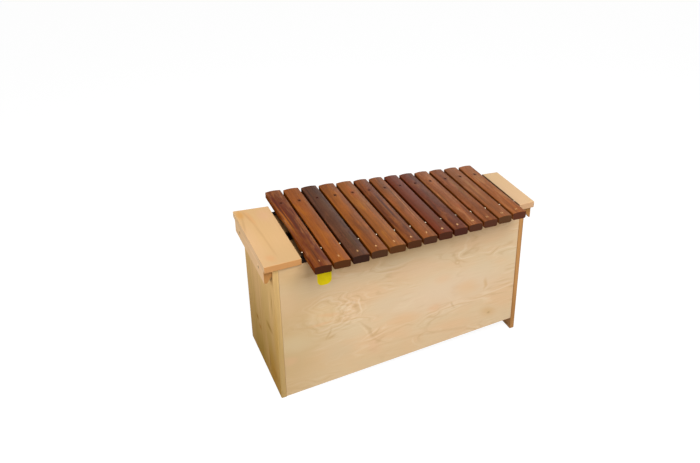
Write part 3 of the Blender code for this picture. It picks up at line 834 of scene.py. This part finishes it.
@dataclass
class BarRow:
    """The thirteen bars, each cut from another plank, so that their tones differ."""

    tones: tuple[BarTone, ...] = (
        BarTone("#723A0F", "#571C05", "#965B2E", "#442518", 0.9, (
            Streak(-18.0, 40.0, 3.5, 170.0, "#AF6416", 0.85, 1.5),
            Streak(-12.5, 50.0, 2.0, 130.0, "#3E1C07", 0.8, 1.5),
            Streak(-8.0, 60.0, 2.6, 110.0, "#A25C14", 0.7, 1.0),
            Streak(2.0, 10.0, 5.0, 170.0, "#4A230A", 0.75, -0.5),
            Streak(10.0, 20.0, 3.0, 150.0, "#4E260C", 0.7, -0.5),
            Streak(15.0, -5.0, 3.0, 60.0, "#AF6416", 0.7),
            Streak(21.0, -20.0, 3.0, 220.0, "#99561D", 0.7),
            Streak(-3.0, -185.0, 2.6, 80.0, "#401E07", 0.7),
            Streak(-14.0, -190.0, 3.0, 60.0, "#834511", 0.6),
            Streak(13.0, -160.0, 2.6, 90.0, "#4A240A", 0.6),
        )),
        BarTone("#894917", "#71370A", "#9C560F", "#512F19", 0.5, (
            Streak(-5.0, -77.0, 12.0, 130.0, "#9F5915", 0.6),
            Streak(18.0, 110.0, 6.0, 90.0, "#8D5932", 0.5),
            Streak(2.0, 70.0, 18.0, 140.0, "#A05418", 0.45),
            Streak(-11.0, 44.0, 3.0, 16.0, "#5E2F0C", 0.5),
        )),
        BarTone("#522E18", "#34180D", "#63381D", "#36221B", 0.5, (
            Streak(8.0, 104.0, 12.0, 130.0, "#5F3C21", 0.5),
            Streak(4.0, -140.0, 14.0, 100.0, "#452B0D", 0.6),
        )),
        BarTone("#834713", "#633113", "#94500D", "#4B3020", 0.6, (
            Streak(6.0, -102.0, 16.0, 55.0, "#693B15", 0.7),
            Streak(-8.0, 31.0, 10.0, 90.0, "#9A5411", 0.6),
            Streak(0.0, 150.0, 18.0, 80.0, "#9E5B13", 0.5),
        )),
        BarTone("#884C17", "#70401F", "#985C1D", "#55341D", 0.5, (
            Streak(4.0, -15.0, 9.0, 45.0, "#9F561C", 0.5),
            Streak(15.0, 60.0, 6.0, 70.0, "#95602D", 0.4),
            Streak(0.0, 140.0, 18.0, 80.0, "#A55119", 0.5),
        )),
        BarTone("#6D350C", "#431D05", "#834716", "#4D2D1B", 0.7, (
            Streak(-1.0, 0.0, 4.5, 190.0, "#854C17", 0.7),
            Streak(6.0, -20.0, 2.6, 200.0, "#441C05", 0.7),
            Streak(14.0, -30.0, 4.5, 180.0, "#8B4F16", 0.6),
            Streak(-17.0, 20.0, 5.0, 170.0, "#4C2207", 0.6),
            Streak(0.0, 140.0, 18.0, 80.0, "#87431A", 0.5),
        )),
        BarTone("#804517", "#5C3516", "#8E4E25", "#4A2E21", 0.6, (
            Streak(10.0, 0.0, 2.0, 150.0, "#C08148", 0.8, -1.5),
            Streak(6.5, 10.0, 2.0, 140.0, "#5A2C0D", 0.6, -1.5),
            Streak(-10.0, 120.0, 3.0, 80.0, "#5E3110", 0.5),
        )),
        BarTone("#632606", "#5B2809", "#612C08", "#49291D", 0.3, (
            Streak(-5.0, 41.0, 14.0, 70.0, "#662C0B", 0.4),
            Streak(10.0, -140.0, 12.0, 70.0, "#552E06", 0.6),
        )),
        BarTone("#622A0E", "#3E1D0A", "#84481C", "#482820", 0.6, (
            Streak(5.0, 30.0, 16.0, 130.0, "#461D0A", 0.7),
            Streak(-6.0, -120.0, 12.0, 55.0, "#743A12", 0.5, 20.0),
            Streak(15.0, -175.0, 8.0, 40.0, "#642816", 0.5),
            Streak(2.0, -95.0, 3.0, 30.0, "#3F1505", 0.6, 30.0),
        )),
        BarTone("#844619", "#5A280A", "#A2673A", "#4F2F22", 0.5, (
            Streak(8.0, 20.0, 6.0, 140.0, "#9A5D2C", 0.7, -1.0),
            Streak(5.0, -70.0, 8.0, 30.0, "#964A1E", 0.5),
            Streak(0.0, 130.0, 18.0, 70.0, "#A65C1D", 0.5),
            Streak(-14.0, -10.0, 6.0, 60.0, "#6A451D", 0.5),
        )),
        BarTone("#7B4116", "#582706", "#92522B", "#533124", 0.5, (
            Streak(10.0, 40.0, 9.0, 160.0, "#855C28", 0.5),
            Streak(-10.0, -40.0, 9.0, 140.0, "#743C0C", 0.5),
        )),
        BarTone("#864B20", "#6C401F", "#935A34", "#583A26", 0.5, (
            Streak(0.0, 40.0, 6.0, 140.0, "#9C703D", 0.5),
        )),
        BarTone("#945425", "#78411A", "#A66F42", "#5B3426", 0.5, (
            # Painted shade: a dark stripe along the right edge of the last bar stands in for the shade in the gap
            # beside the right cap.
            Streak(22.6, 0.0, 3.6, 400.0, "#2A1004", 1.0),
            Streak(13.0, 30.0, 9.0, 70.0, "#A76736", 0.4),
            Streak(0.0, 100.0, 12.0, 70.0, "#905C25", 0.5),
        )),
    )

    def build(self) -> None:
        """Builds the bars."""
        for number, tone in enumerate(self.tones, start=1):
            Bar(number, tone).build()


GOLD_FOIL = ThinSurface("hot_stamped_gold_foil", "#D5A363", "#C69251", (2.0 * MM,) * 3, 0.35, metallic=0.6)
NICKEL = ThinSurface("nickel_plated_steel", "#D8C8B0", "#C9B9A0", (3.0 * MM,) * 3, 0.22, metallic=1.0, bump=0.02)
ZINC = ThinSurface("yellow_passivated_zinc", "#8F6E38", "#785B2C", (1.5 * MM,) * 3, 0.42, metallic=1.0, bump=0.05)
RUBBER = ThinSurface("extruded_rubber_tube", "#171310", "#201A16", (0.8 * MM,) * 3, 0.62, gloss=0.15)
FELT = ThinSurface("pressed_wool_felt", "#140C08", "#20130D", (0.9 * MM, 0.9 * MM, 0.5 * MM), 0.95, gloss=0.1, sheen=0.1,
                   bump=0.6, relief=0.4 * MM)
STAINED = ThinSurface("black_stained_beech", "#1C100A", "#2A180E", (22.0 * MM, 1.2 * MM, 1.2 * MM), 0.6, gloss=0.1)
VINYL = ThinSurface("yellow_vinyl_film", "#EDD400", "#E6CC00", (12.0 * MM,) * 3, 0.32, gloss=0.1, bump=0.02)


@dataclass
class RailHardware:
    """What the bars lie on: the rails, their felt, the spacer pins between the bars and the pins in their holes."""

    inner: float = 25.0 * MM
    outer: float = 1.0 * MM
    pin_inset: float = 13.0 * MM
    pin: float = 3.4 * MM
    head: float = 5.2 * MM
    head_height: float = 1.6 * MM
    sleeve: float = 4.8 * MM
    toe: float = 1.2 * MM
    felt_rounding: float = 0.7 * MM
    felt_swell: float = 0.25 * MM
    stations: int = 260

    def __post_init__(self) -> None:
        """Reads the bars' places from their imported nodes."""
        self.bars = [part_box(f"bar_{number:02d}") for number in range(1, 14)]

    def rear_rail(self) -> None:
        """Builds the far rail with the thirteen pins that pass through the bars, each in its rubber sleeve."""
        low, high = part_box("rear_rail")
        felt_low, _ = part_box("rear_felt_strip")
        sides = ((1, self.inner), (1, self.outer))
        stained = STAINED.material()
        mesh = tapered_board("rear_rail", (felt_low.x - 0.3 * MM, high.x), sides, (low.z, felt_low.z - 0.3 * MM),
                             0.6 * MM, 2)
        place_piece("rear_rail_wood", mesh, stained, stands_for="rear_rail")
        toe = tapered_board("rear_rail_toe", (low.x, felt_low.x), sides, (low.z, low.z + self.toe), 0.3 * MM, 2)
        place_piece("rear_rail_toe", toe, stained, stands_for="rear_rail")
        nickel = NICKEL.material()
        rubber = RUBBER.material()
        radius = self.pin / 2
        for number, (bar_low, bar_high) in enumerate(self.bars, start=1):
            x = (bar_low.x + bar_high.x) / 2
            place = Matrix.Translation((x, PLAN.line(x, 1, self.pin_inset), 0.0))
            pin = turned([(radius, felt_low.z - 6.0 * MM), (radius, high.z - 0.6 * MM),
                          (0.8 * radius, high.z - 0.15 * MM), (0.3 * radius, high.z)], 20)
            place_piece(f"bar_pin_{number:02d}", finish_mesh(pin, "bar_pin", place), nickel)
            self.tube(f"bar_pin_sleeve_{number:02d}", place, felt_low.z - 0.2 * MM, high.z - 2.0 * MM, rubber)

    def tube(self, name: str, place: Matrix, low: float, high: float, rubber: bpy.types.Material) -> None:
        """Builds the rubber sleeve of a pin.

        Args:
            name: The piece's name.
            place: The pin's place.
            low: The z of the sleeve's lower end.
            high: The z of its upper end.
            rubber: Its material.
        """
        inner = self.pin / 2 + 0.05 * MM
        outer = self.sleeve / 2
        ease = 0.3 * MM
        profile = [(inner, low), (outer, low), (outer, high - ease), (outer - ease, high), (inner, high)]
        place_piece(name, finish_mesh(turned(profile, 24, closed=True), "sleeve", place), rubber)

    def spacer_pins(self) -> None:
        """Builds the spacer pins with their domed heads and rubber sleeves."""
        nickel = NICKEL.material()
        rubber = RUBBER.material()
        shank = self.pin / 2
        head = self.head / 2
        for number in range(1, 15):
            node = f"spacer_pin_{number:02d}"
            low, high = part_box(node)
            place = Matrix.Translation(((low.x + high.x) / 2, (low.y + high.y) / 2, 0.0))
            under = high.z - self.head_height
            dome = [(head * math.cos(math.radians(a)), under + 0.5 * MM + (self.head_height - 0.5 * MM)
                     * math.sin(math.radians(a))) for a in (0, 18, 36, 54, 72, 86)]
            profile = [(shank, low.z), (shank, under), (head - 0.1 * MM, under), (head, under + 0.2 * MM), *dome]
            place_piece(node + "_steel", finish_mesh(turned(profile, 28), node, place), nickel, stands_for=node)
            felt_low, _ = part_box("front_felt_strip")
            self.tube(f"spacer_sleeve_{number:02d}", place, felt_low.z - 0.2 * MM, under - 0.1 * MM, rubber)

    def felt_strip(self, node: str, side: int) -> None:
        """Builds a felt strip, pressed flat under the bars and slightly swollen between them.

        Args:
            node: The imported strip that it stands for.
            side: -1 for the player's side and 1 for the far one.
        """
        low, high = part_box(node)
        dice = random.Random(5 + side)
        rings = []
        for step in range(self.stations + 1):
            x = low.x + (high.x - low.x) * step / self.stations
            under_bar = any(bar_low.x - 1.5 * MM < x < bar_high.x + 1.5 * MM for bar_low, bar_high in self.bars)
            top = high.z + (0.0 if under_bar else self.felt_swell)
            fray = [dice.uniform(-0.2, 0.2) * MM for _ in range(2)]
            near, far = sorted((PLAN.line(x, side, self.inner + 0.3 * MM) + fray[0],
                                PLAN.line(x, side, self.outer + 0.3 * MM) + fray[1]))
            round_off = self.felt_rounding
            section = [(near, low.z), (far, low.z)]
            section += arc((far - round_off, top - round_off), round_off, 0.0, 90.0, 3)
            section += arc((near + round_off, top - round_off), round_off, 90.0, 180.0, 3)
            rings.append([Vector((x, y, z)) for y, z in section])
        felt = place_piece(node + "_wool", finish_mesh(loft(rings), node), FELT.material(), stands_for=node)

    def build(self) -> None:
        """Builds the rails, felts and pins."""
        dress_node("front_rail", STAINED.material())
        self.rear_rail()
        self.spacer_pins()
        self.felt_strip("front_felt_strip", -1)
        self.felt_strip("rear_felt_strip", 1)


@dataclass
class EndCaps:
    """The pine caps over the two ends, the grip strips under them and the screws that hold the strips."""

    overhang: float = 6.0 * MM
    rounding: float = 1.5 * MM
    recess_depth: float = 1.6 * MM
    recess_width: float = 1.1 * MM
    recess_reach: float = 2.6 * MM

    def cap(self, node: str, finish: SolidPine) -> None:
        """Builds a cap with softly rounded edges.

        Args:
            node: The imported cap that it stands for.
            finish: Its wood.
        """
        low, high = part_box(node)
        mesh = tapered_board(node, (low.x, high.x), ((-1, -self.overhang), (1, -self.overhang)), (low.z, high.z),
                             self.rounding, 4)
        place_piece(node + "_wood", mesh, finish.material(), stands_for=node)

    def screw(self, node: str, outward: float, zinc: bpy.types.Material) -> None:
        """Builds a countersunk screw with a cross recess in its head.

        Args:
            node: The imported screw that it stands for.
            outward: 1 where it faces +X and -1 where it faces -X.
            zinc: Its material.
        """
        low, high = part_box(node)
        length = high.x - low.x
        head = (high.z - low.z) / 2
        profile = [(1.2 * MM, 0.0), (2.2 * MM, 1.5 * MM), (2.2 * MM, length - 3.0 * MM),
                   (head - 0.2 * MM, length - 0.2 * MM), (head - 0.3 * MM, length - 0.05 * MM),
                   (head - 0.8 * MM, length)]
        slots = []
        for size in ((self.recess_reach, self.recess_width / 2), (self.recess_width / 2, self.recess_reach)):
            bottom = length - self.recess_depth
            rings = [[Vector((x * size[0] * grow, y * size[1], z)) for x, y in ((-1, -1), (1, -1), (1, 1), (-1, 1))]
                     for z, grow in ((bottom, 0.6), (length + 1.0 * MM, 1.1))]
            slots.append(finish_mesh(loft(rings), "recess"))
        screw = carved(finish_mesh(turned(profile, 28), node), slots)
        start = Vector((low.x if outward > 0.0 else high.x, (low.y + high.y) / 2, (low.z + high.z) / 2))
        turn = Matrix.Rotation(outward * math.pi / 2, 4, "Y") @ Matrix.Rotation(math.radians(25.0), 4, "Z")
        screw.transform(Matrix.Translation(start) @ turn)
        place_piece(node + "_steel", screw, zinc, stands_for=node)

    def build(self) -> None:
        """Builds the caps, dresses the grip strips and builds their screws."""
        left = SolidPine(
            "oiled_pine_left_cap", Grain.TO_PLAYER, (-430.0 * MM, 0.0, 430.0 * MM), pale="#D3AB78", cloud="#D7AE80",
            strength=0.12, spots=(
                Spot((-380.0 * MM, -190.0 * MM, 0.0), (160.0 * MM, 190.0 * MM, ANY_HEIGHT), "#C4A072", 0.7),
                Spot((-366.0 * MM, 122.0 * MM, 0.0), (34.0 * MM, 60.0 * MM, ANY_HEIGHT), "#D6A682", 0.5),
                Spot((-410.0 * MM, 120.0 * MM, 0.0), (12.0 * MM, 80.0 * MM, ANY_HEIGHT), "#D69C62", 0.5,
                     (0.0, 0.0, 7.0)),
                Spot((-433.0 * MM, 148.0 * MM, 0.0), (16.0 * MM, 44.0 * MM, ANY_HEIGHT), "#CF9448", 0.7),
                Spot((-416.0 * MM, 128.0 * MM, 0.0), (6.0 * MM, 62.0 * MM, ANY_HEIGHT), "#A97A48", 0.25,
                     (0.0, 0.0, 8.5)),
                Spot((-404.0 * MM, 20.0 * MM, 0.0), (6.0 * MM, 110.0 * MM, ANY_HEIGHT), "#A97A48", 0.22,
                     (0.0, 0.0, 4.0)),
                Spot((-398.0 * MM, -80.0 * MM, 0.0), (6.0 * MM, 80.0 * MM, ANY_HEIGHT), "#A97A48", 0.2,
                     (0.0, 0.0, 3.0)),
                Spot((-437.0 * MM, 80.0 * MM, 0.0), (6.0 * MM, 90.0 * MM, ANY_HEIGHT), "#A97A48", 0.28,
                     (0.0, 0.0, -6.5)),
                Spot((-415.0 * MM, -137.0 * MM, 0.0), (20.0 * MM, 30.0 * MM, ANY_HEIGHT), "#D09A68", 0.55,
                     (0.0, 0.0, 12.0)),
            ))
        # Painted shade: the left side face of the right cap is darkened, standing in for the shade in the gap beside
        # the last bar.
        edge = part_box("right_cap")[0].x - 0.5 * MM
        painted_gap_shade = Spot((edge, 0.0, 0.0), (4.5 * MM, 400.0 * MM, ANY_HEIGHT), "#4A2604", 1.0)
        right = SolidPine("oiled_pine_right_cap", Grain.TO_PLAYER, (360.0 * MM, 0.0, 410.0 * MM), seed=3.1,
                          pale="#D8B585", cloud="#D9B48B", line="#CBA472", end="#CCA27B", strength=0.10,
                          wander=3.0 * MM, spots=(painted_gap_shade,))
        self.cap("left_cap", left)
        self.cap("right_cap", right)
        # Painted highlights: a pale patch beside each left screw stands in for the light that its countersunk rim
        # catches.
        painted_screw_highlights = []
        for number in (1, 2):
            low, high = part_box(f"grip_screw_{number}")
            middle = ((low.x + high.x) / 2, (low.y + high.y) / 2 + 4.0 * MM, (low.z + high.z) / 2 + 3.0 * MM)
            painted_screw_highlights.append(Spot(middle, (60.0 * MM, 10.0 * MM, 8.0 * MM), "#F2D8A6", 0.7))
        strip = SolidPine("oiled_pine_grip_strip", Grain.TO_PLAYER, (0.0, 0.0, 380.0 * MM), seed=6.3,
                          end="#B47F48", spots=tuple(painted_screw_highlights))
        dress_node("left_grip_strip", strip.material())
        dress_node("right_grip_strip", strip.material())
        zinc = ZINC.material()
        for number, outward in ((1, -1.0), (2, -1.0), (3, 1.0), (4, 1.0)):
            self.screw(f"grip_screw_{number}", outward, zinc)


@dataclass
class ResonatorBox:
    """The tapered box: pine ends, plywood panels and the thin plywood boards that divide it into chambers."""

    label_width: float = 44.8 * MM
    label_height: float = 47.8 * MM
    label_left: float = -288.4 * MM
    label_bottom: float = 365.2 * MM
    label_radius: float = 17.0 * MM
    label_thickness: float = 0.3 * MM

    def dress_ends(self) -> None:
        """Dresses the end boards, whose fibres run upright."""
        left = SolidPine(
            "oiled_pine_left_end", Grain.UPRIGHT, (-520.0 * MM, 60.0 * MM, 0.0), seed=1.7, pale="#DBB67B",
            cloud="#DDB583", line="#B98F58", ring=12.0 * MM, strength=0.4, gloss=0.0, spots=(
                # Painted shade: the first spot darkens the outer face more and more towards the floor.
                Spot((-422.0 * MM, -20.0 * MM, -60.0 * MM), (12.0 * MM, 700.0 * MM, 500.0 * MM), "#98762F", 0.9),
                Spot((-411.0 * MM, -172.0 * MM, -60.0 * MM), (40.0 * MM, 11.0 * MM, 780.0 * MM), "#B39560", 1.0),
                Spot((0.0, 72.0 * MM, 146.0 * MM), (ANY_HEIGHT, 20.0 * MM, 14.0 * MM), "#8F5C1B", 0.7),
                Spot((0.0, 42.0 * MM, 126.0 * MM), (ANY_HEIGHT, 22.0 * MM, 12.0 * MM), "#9F6424", 0.6),
                Spot((0.0, -80.0 * MM, 206.0 * MM), (ANY_HEIGHT, 50.0 * MM, 16.0 * MM), "#8E6A2C", 0.6),
                Spot((0.0, -129.0 * MM, 320.0 * MM), (ANY_HEIGHT, 7.0 * MM, 60.0 * MM), "#946C22", 0.65),
                Spot((0.0, -102.0 * MM, 300.0 * MM), (ANY_HEIGHT, 7.0 * MM, 70.0 * MM), "#E6C082", 0.6),
                Spot((0.0, -58.0 * MM, 70.0 * MM), (ANY_HEIGHT, 9.0 * MM, 60.0 * MM), "#84582A", 0.55),
                Spot((0.0, -112.0 * MM, 50.0 * MM), (ANY_HEIGHT, 44.0 * MM, 30.0 * MM), "#8A6030", 0.5),
                Spot((-424.0 * MM, -100.0 * MM, 45.0 * MM), (12.0 * MM, 120.0 * MM, 130.0 * MM), "#AF8038", 0.6),
                Spot((-424.0 * MM, -160.0 * MM, 200.0 * MM), (12.0 * MM, 50.0 * MM, 200.0 * MM), "#C89C50", 0.45),
            ))
        right = SolidPine(
            "oiled_pine_right_end", Grain.UPRIGHT, (470.0 * MM, -40.0 * MM, 0.0), seed=4.9, pale="#C6925A",
            cloud="#C6925A", line="#A9733E", ring=6.0 * MM, spots=(
                Spot((398.5 * MM, -112.0 * MM, 220.0 * MM), (6.0 * MM, 14.0 * MM, 800.0 * MM), "#8E5F30", 0.6),
                Spot((415.5 * MM, -112.0 * MM, 220.0 * MM), (5.5 * MM, 14.0 * MM, 800.0 * MM), "#8E5F30", 0.6),
                Spot((407.0 * MM, -112.0 * MM, 60.0 * MM), (16.0 * MM, 14.0 * MM, 130.0 * MM), "#8E5F30", 0.5),
            ))
        dress_node("left_end_board", left.material())
        dress_node("right_end_board", right.material())

    def dress_panels(self) -> None:
        """Dresses the two long panels in peeled veneer."""
        front_out = tuple(PLAN.face(-1).col[2][:3])
        rear_out = tuple(PLAN.face(1).col[2][:3])
        front = PeeledPlywood("peeled_pine_plywood_front", front_out, (-258.0 * MM, 0.0, 259.0 * MM),
                              spots=tuple(self.panel_spots()))
        rear = PeeledPlywood("peeled_pine_plywood_rear", rear_out, (-140.0 * MM, 0.0, 200.0 * MM), seed=7.3)
        dress_node("front_panel", front.material())
        dress_node("rear_panel", rear.material())

    def panel_spots(self) -> Iterator[Spot]:
        """Gives the tone patches, the painted shade under the bars and beside the first bar, resin patches, knots
        and single lines of the player's panel, from x, z and half sizes in millimetres, the tone, the strength and
        the turn in degrees."""
        for x, z, half_length, half_height, tone, strength, turn in (
            (-450.0, 160.0, 300.0, 520.0, "#C6A779", 0.85, 0.0),
            # Painted shade: a warm darker band under the bars stands in for their shadow on the panel.
            (-50.0, 440.0, 480.0, 80.0, "#CBA470", 0.7, 0.0),
            # Painted shade: a darker patch beside the first bar stands in for the shadow of the first bar and the
            # left cap.
            (-375.0, 420.0, 60.0, 70.0, "#C2A070", 0.4, 0.0),
            (150.0, 225.0, 300.0, 110.0, "#E0C7AA", 0.7, 0.0),
            (60.0, 330.0, 130.0, 40.0, "#E2C2A0", 0.5, 0.0),
            (-150.0, 50.0, 330.0, 80.0, "#D6BA90", 0.5, 0.0),
            (-370.0, 185.0, 90.0, 45.0, "#D2BC94", 0.6, 8.0),
            (-225.0, 115.0, 90.0, 55.0, "#D2B994", 0.6, 0.0),
            (-60.0, 235.0, 110.0, 70.0, "#DAC1A0", 0.6, 10.0),
            (-390.0, 330.0, 60.0, 70.0, "#D6B48C", 0.5, 0.0),
            (-104.0, 92.0, 34.0, 50.0, "#E3B894", 0.35, 0.0),
            (-386.0, 128.0, 34.0, 24.0, "#DDB08A", 0.35, 0.0),
            (216.0, 216.0, 66.0, 46.0, "#E0B483", 0.48, 0.0),
            (104.0, 172.0, 36.0, 22.0, "#E0AE82", 0.42, 0.0),
            (-2.0, 163.0, 84.0, 30.0, "#DFB384", 0.42, 6.0),
            (124.0, 275.0, 50.0, 24.0, "#E2BA92", 0.4, 0.0),
            (286.0, 213.0, 11.0, 36.0, "#D0A674", 0.55, 0.0),
            (300.0, 97.0, 48.0, 30.0, "#D4A872", 0.5, 25.0),
            (181.0, 321.0, 16.0, 13.0, "#C4986A", 0.5, 0.0),
            (181.0, 321.0, 9.0, 7.0, "#E0C49C", 1.0, 0.0),
            (-270.0, 264.0, 90.0, 52.0, "#DFC093", 0.65, 12.0),
            (-255.0, 258.0, 60.0, 10.0, "#DFAE80", 0.45, 14.0),
            (-280.0, 232.0, 60.0, 9.0, "#DFAE80", 0.4, -4.0),
            (302.0, 90.0, 9.0, 6.0, "#A87C4A", 0.5, 0.0),
            (-166.0, 255.0, 7.0, 56.0, "#B98D5C", 0.18, 0.0),
            (-154.0, 258.0, 5.0, 50.0, "#F0DDC0", 0.4, 0.0),
            (-133.0, 165.0, 7.0, 62.0, "#B2844F", 0.28, -32.0),
            (-143.0, 163.0, 5.0, 50.0, "#EAD2AE", 0.3, -32.0),
            (-118.0, 150.0, 5.0, 50.0, "#B98D5C", 0.25, -32.0),
            (-90.0, 112.0, 40.0, 6.0, "#B2844F", 0.18, 30.0),
            (-330.0, 228.0, 70.0, 7.0, "#B98D5C", 0.22, 16.0),
            (-258.0, 190.0, 7.0, 28.0, "#B2844F", 0.35, 20.0),
            (-246.0, 176.0, 20.0, 6.0, "#B2844F", 0.28, -20.0),
            (-60.0, 332.0, 60.0, 6.0, "#B98D5C", 0.16, -6.0),
            (60.0, 84.0, 140.0, 8.0, "#B98D5C", 0.16, 5.0),
            (170.0, 70.0, 100.0, 7.0, "#B98D5C", 0.16, 9.0),
            (174.0, 166.0, 6.0, 20.0, "#B2844F", 0.3, -30.0),
            (350.0, 206.0, 54.0, 6.0, "#B98D5C", 0.18, 3.0),
        ):
            yield Spot((x * MM, 0.0, z * MM), (half_length * MM, ANY_HEIGHT, half_height * MM), tone, strength,
                       (0.0, turn, 0.0))

    def dress_inside(self) -> None:
        """Dresses the boards inside the box, which are thin raw plywood."""
        up = Grain.UPRIGHT.value
        flat = PeeledPlywood("raw_thin_plywood_flat", up, (0.0, 0.0, 0.0), seed=2.9,
                             pale="#9A7448", line="#84603A", layer="#6E5032", layer_thickness=1.2 * MM)
        upright = PeeledPlywood("raw_thin_plywood_upright", Grain.ALONG_ROW.value, (0.0, 0.0, 0.0), seed=5.1,
                                pale="#C9AE80", line="#B4946A", layer="#96764C", layer_thickness=1.0 * MM)
        flat_wood = flat.material()
        upright_wood = upright.material()
        for node in ("front_cover_board", "rear_cover_board", "bottom_board"):
            dress_node(node, flat_wood)
        for number in range(1, 15):
            dress_node(f"partition_{number:02d}", upright_wood)

    def label(self) -> None:
        """Builds the plain yellow sticker on the player's panel, half hidden under the first bar."""
        width, height, radius = self.label_width, self.label_height, self.label_radius
        small = 2.0 * MM
        outline = arc((radius, radius), radius, 180.0, 270.0, 8)
        outline += arc((width - radius, radius), radius, 270.0, 360.0, 8)
        outline += arc((width - small, height - small), small, 0.0, 90.0, 3)
        outline += arc((small, height - small), small, 90.0, 180.0, 3)
        rings = [[Vector((x, y, z)) for x, y in outline] for z in (0.0, self.label_thickness)]
        corner = Vector((self.label_left, PLAN.line(self.label_left, -1, -0.02 * MM), self.label_bottom))
        mesh = finish_mesh(loft(rings), "label", Matrix.Translation(corner) @ PLAN.face(-1))
        place_piece("plain_sticker", mesh, VINYL.material())

    def build(self) -> None:
        """Dresses the box and adds its sticker."""
        self.dress_ends()
        self.dress_panels()
        self.dress_inside()
        self.label()


@dataclass(frozen=True)
class Softbox:
    """A square soft lamp: its place, the length of its side and its power in watts."""

    name: str
    place: Triple
    size: float
    power: float

    def hang(self) -> None:
        """Hangs the lamp, turned to the instrument."""
        data = bpy.data.lights.new(self.name, "AREA")
        data.shape = "SQUARE"
        data.size = self.size
        data.energy = self.power
        lamp = bpy.data.objects.new(self.name, data)
        lamp.location = self.place
        aim = Vector((0.0, 0.0, 0.3)) - lamp.location
        lamp.rotation_euler = aim.to_track_quat("-Z", "Y").to_euler()
        bpy.context.scene.collection.objects.link(lamp)


@dataclass
class Studio:
    """A white studio: a pale floor, an even surrounding light, a soft lamp overhead and the camera."""

    camera_place: Triple = (-893.106 * MM, -2100.155 * MM, 1672.264 * MM)
    azimuth: float = 20.035
    tilt: float = 29.069
    roll: float = -1.173
    lens: float = 43.07
    surround: float = 0.32
    lamps: tuple[Softbox, ...] = (
        Softbox("overhead_softbox", (0.3, -1.95, 2.65), 2.0, 90.0),
        Softbox("side_softbox", (-1.8, -0.4, 1.15), 0.9, 15.0),
        Softbox("rim_softbox", (1.1, 2.05, 1.35), 0.8, 4.0),
    )
    shadow_share: float = 0.16
    floor_glow: float = 1.1

    def camera(self) -> None:
        """Sets the camera where the photographer's stood."""
        azimuth, tilt, roll = (math.radians(a) for a in (self.azimuth, self.tilt, self.roll))
        forward = Vector((math.sin(azimuth) * math.cos(tilt), math.cos(azimuth) * math.cos(tilt), -math.sin(tilt)))
        level = Vector((math.cos(azimuth), -math.sin(azimuth), 0.0))
        above = level.cross(forward)
        right = level * math.cos(roll) + above * math.sin(roll)
        up = right.cross(forward)
        data = bpy.data.cameras.new("camera")
        data.lens = self.lens
        data.clip_end = 60.0
        camera = bpy.data.objects.new("camera", data)
        turn = Matrix((right, up, -forward)).transposed().to_4x4()
        camera.matrix_world = Matrix.Translation(self.camera_place) @ turn
        bpy.context.scene.collection.objects.link(camera)
        bpy.context.scene.camera = camera

    def seen(self, tree: bpy.types.NodeTree) -> bpy.types.Node:
        """Adds the nodes that tell whether a surface is seen, straight or in a reflection, and not only lights."""
        path = add_node(tree, "LightPath")
        mirrored = add_node(tree, "Math", {0: path.outputs["Is Camera Ray"], 1: path.outputs["Is Glossy Ray"]},
                            operation="MAXIMUM")
        return add_node(tree, "Math", {0: mirrored, 1: path.outputs["Is Transmission Ray"]}, operation="MAXIMUM")

    def world(self) -> None:
        """Makes the surroundings white where they are seen, and a little dimmer as a light."""
        world = bpy.data.worlds.new("white_studio")
        world.use_nodes = True
        tree = world.node_tree
        tree.nodes.clear()
        light = add_node(tree, "Background", {"Color": linear("#FFFFFF"), "Strength": self.surround})
        white = add_node(tree, "Background", {"Color": linear("#FFFFFF"), "Strength": 1.0})
        mixed = add_node(tree, "MixShader", {0: self.seen(tree), 1: light, 2: white})
        add_node(tree, "OutputWorld", {"Surface": mixed})
        bpy.context.scene.world = world

    def floor(self) -> None:
        """Lays the pale floor, which looks white and keeps a faint shadow."""
        bm = bmesh.new()
        bmesh.ops.create_grid(bm, x_segments=1, y_segments=1, size=12.0)
        mesh = finish_mesh(bm, "floor", Matrix.Translation((0.0, 0.0, -0.2 * MM)))
        floor = bpy.data.objects.new("floor", mesh)
        material = bpy.data.materials.new("matt_white_paper")
        material.use_nodes = True
        tree = material.node_tree
        tree.nodes.clear()
        seen = self.seen(tree)
        tone = add_node(tree, "Mix", {"Factor": seen, "A": linear("#BCBCB8"), "B": linear("#FFFFFF")},
                        data_type="RGBA")
        paper = add_node(tree, "BsdfDiffuse", {"Color": tone})
        white = add_node(tree, "Emission", {"Color": linear("#FFFFFF"), "Strength": self.floor_glow})
        share = add_node(tree, "Math", {0: seen, 1: 1.0 - self.shadow_share}, operation="MULTIPLY")
        mixed = add_node(tree, "MixShader", {0: share, 1: paper, 2: white})
        add_node(tree, "OutputMaterial", {"Surface": mixed})
        mesh.materials.append(material)
        bpy.context.scene.collection.objects.link(floor)

    def build(self) -> None:
        """Sets up the studio."""
        self.camera()
        self.world()
        self.floor()
        for lamp in self.lamps:
            lamp.hang()
        bpy.context.scene.view_settings.view_transform = "Standard"


def main() -> None:
    """Builds the pieces in order."""
    logging.basicConfig(level=logging.INFO, format="%(name)s: %(message)s")
    for part in (Studio(), ResonatorBox(), EndCaps(), RailHardware(), BarRow()):
        LOG.info("building %s", type(part).__name__)
        part.build()


if __name__ == "__main__":
    main()
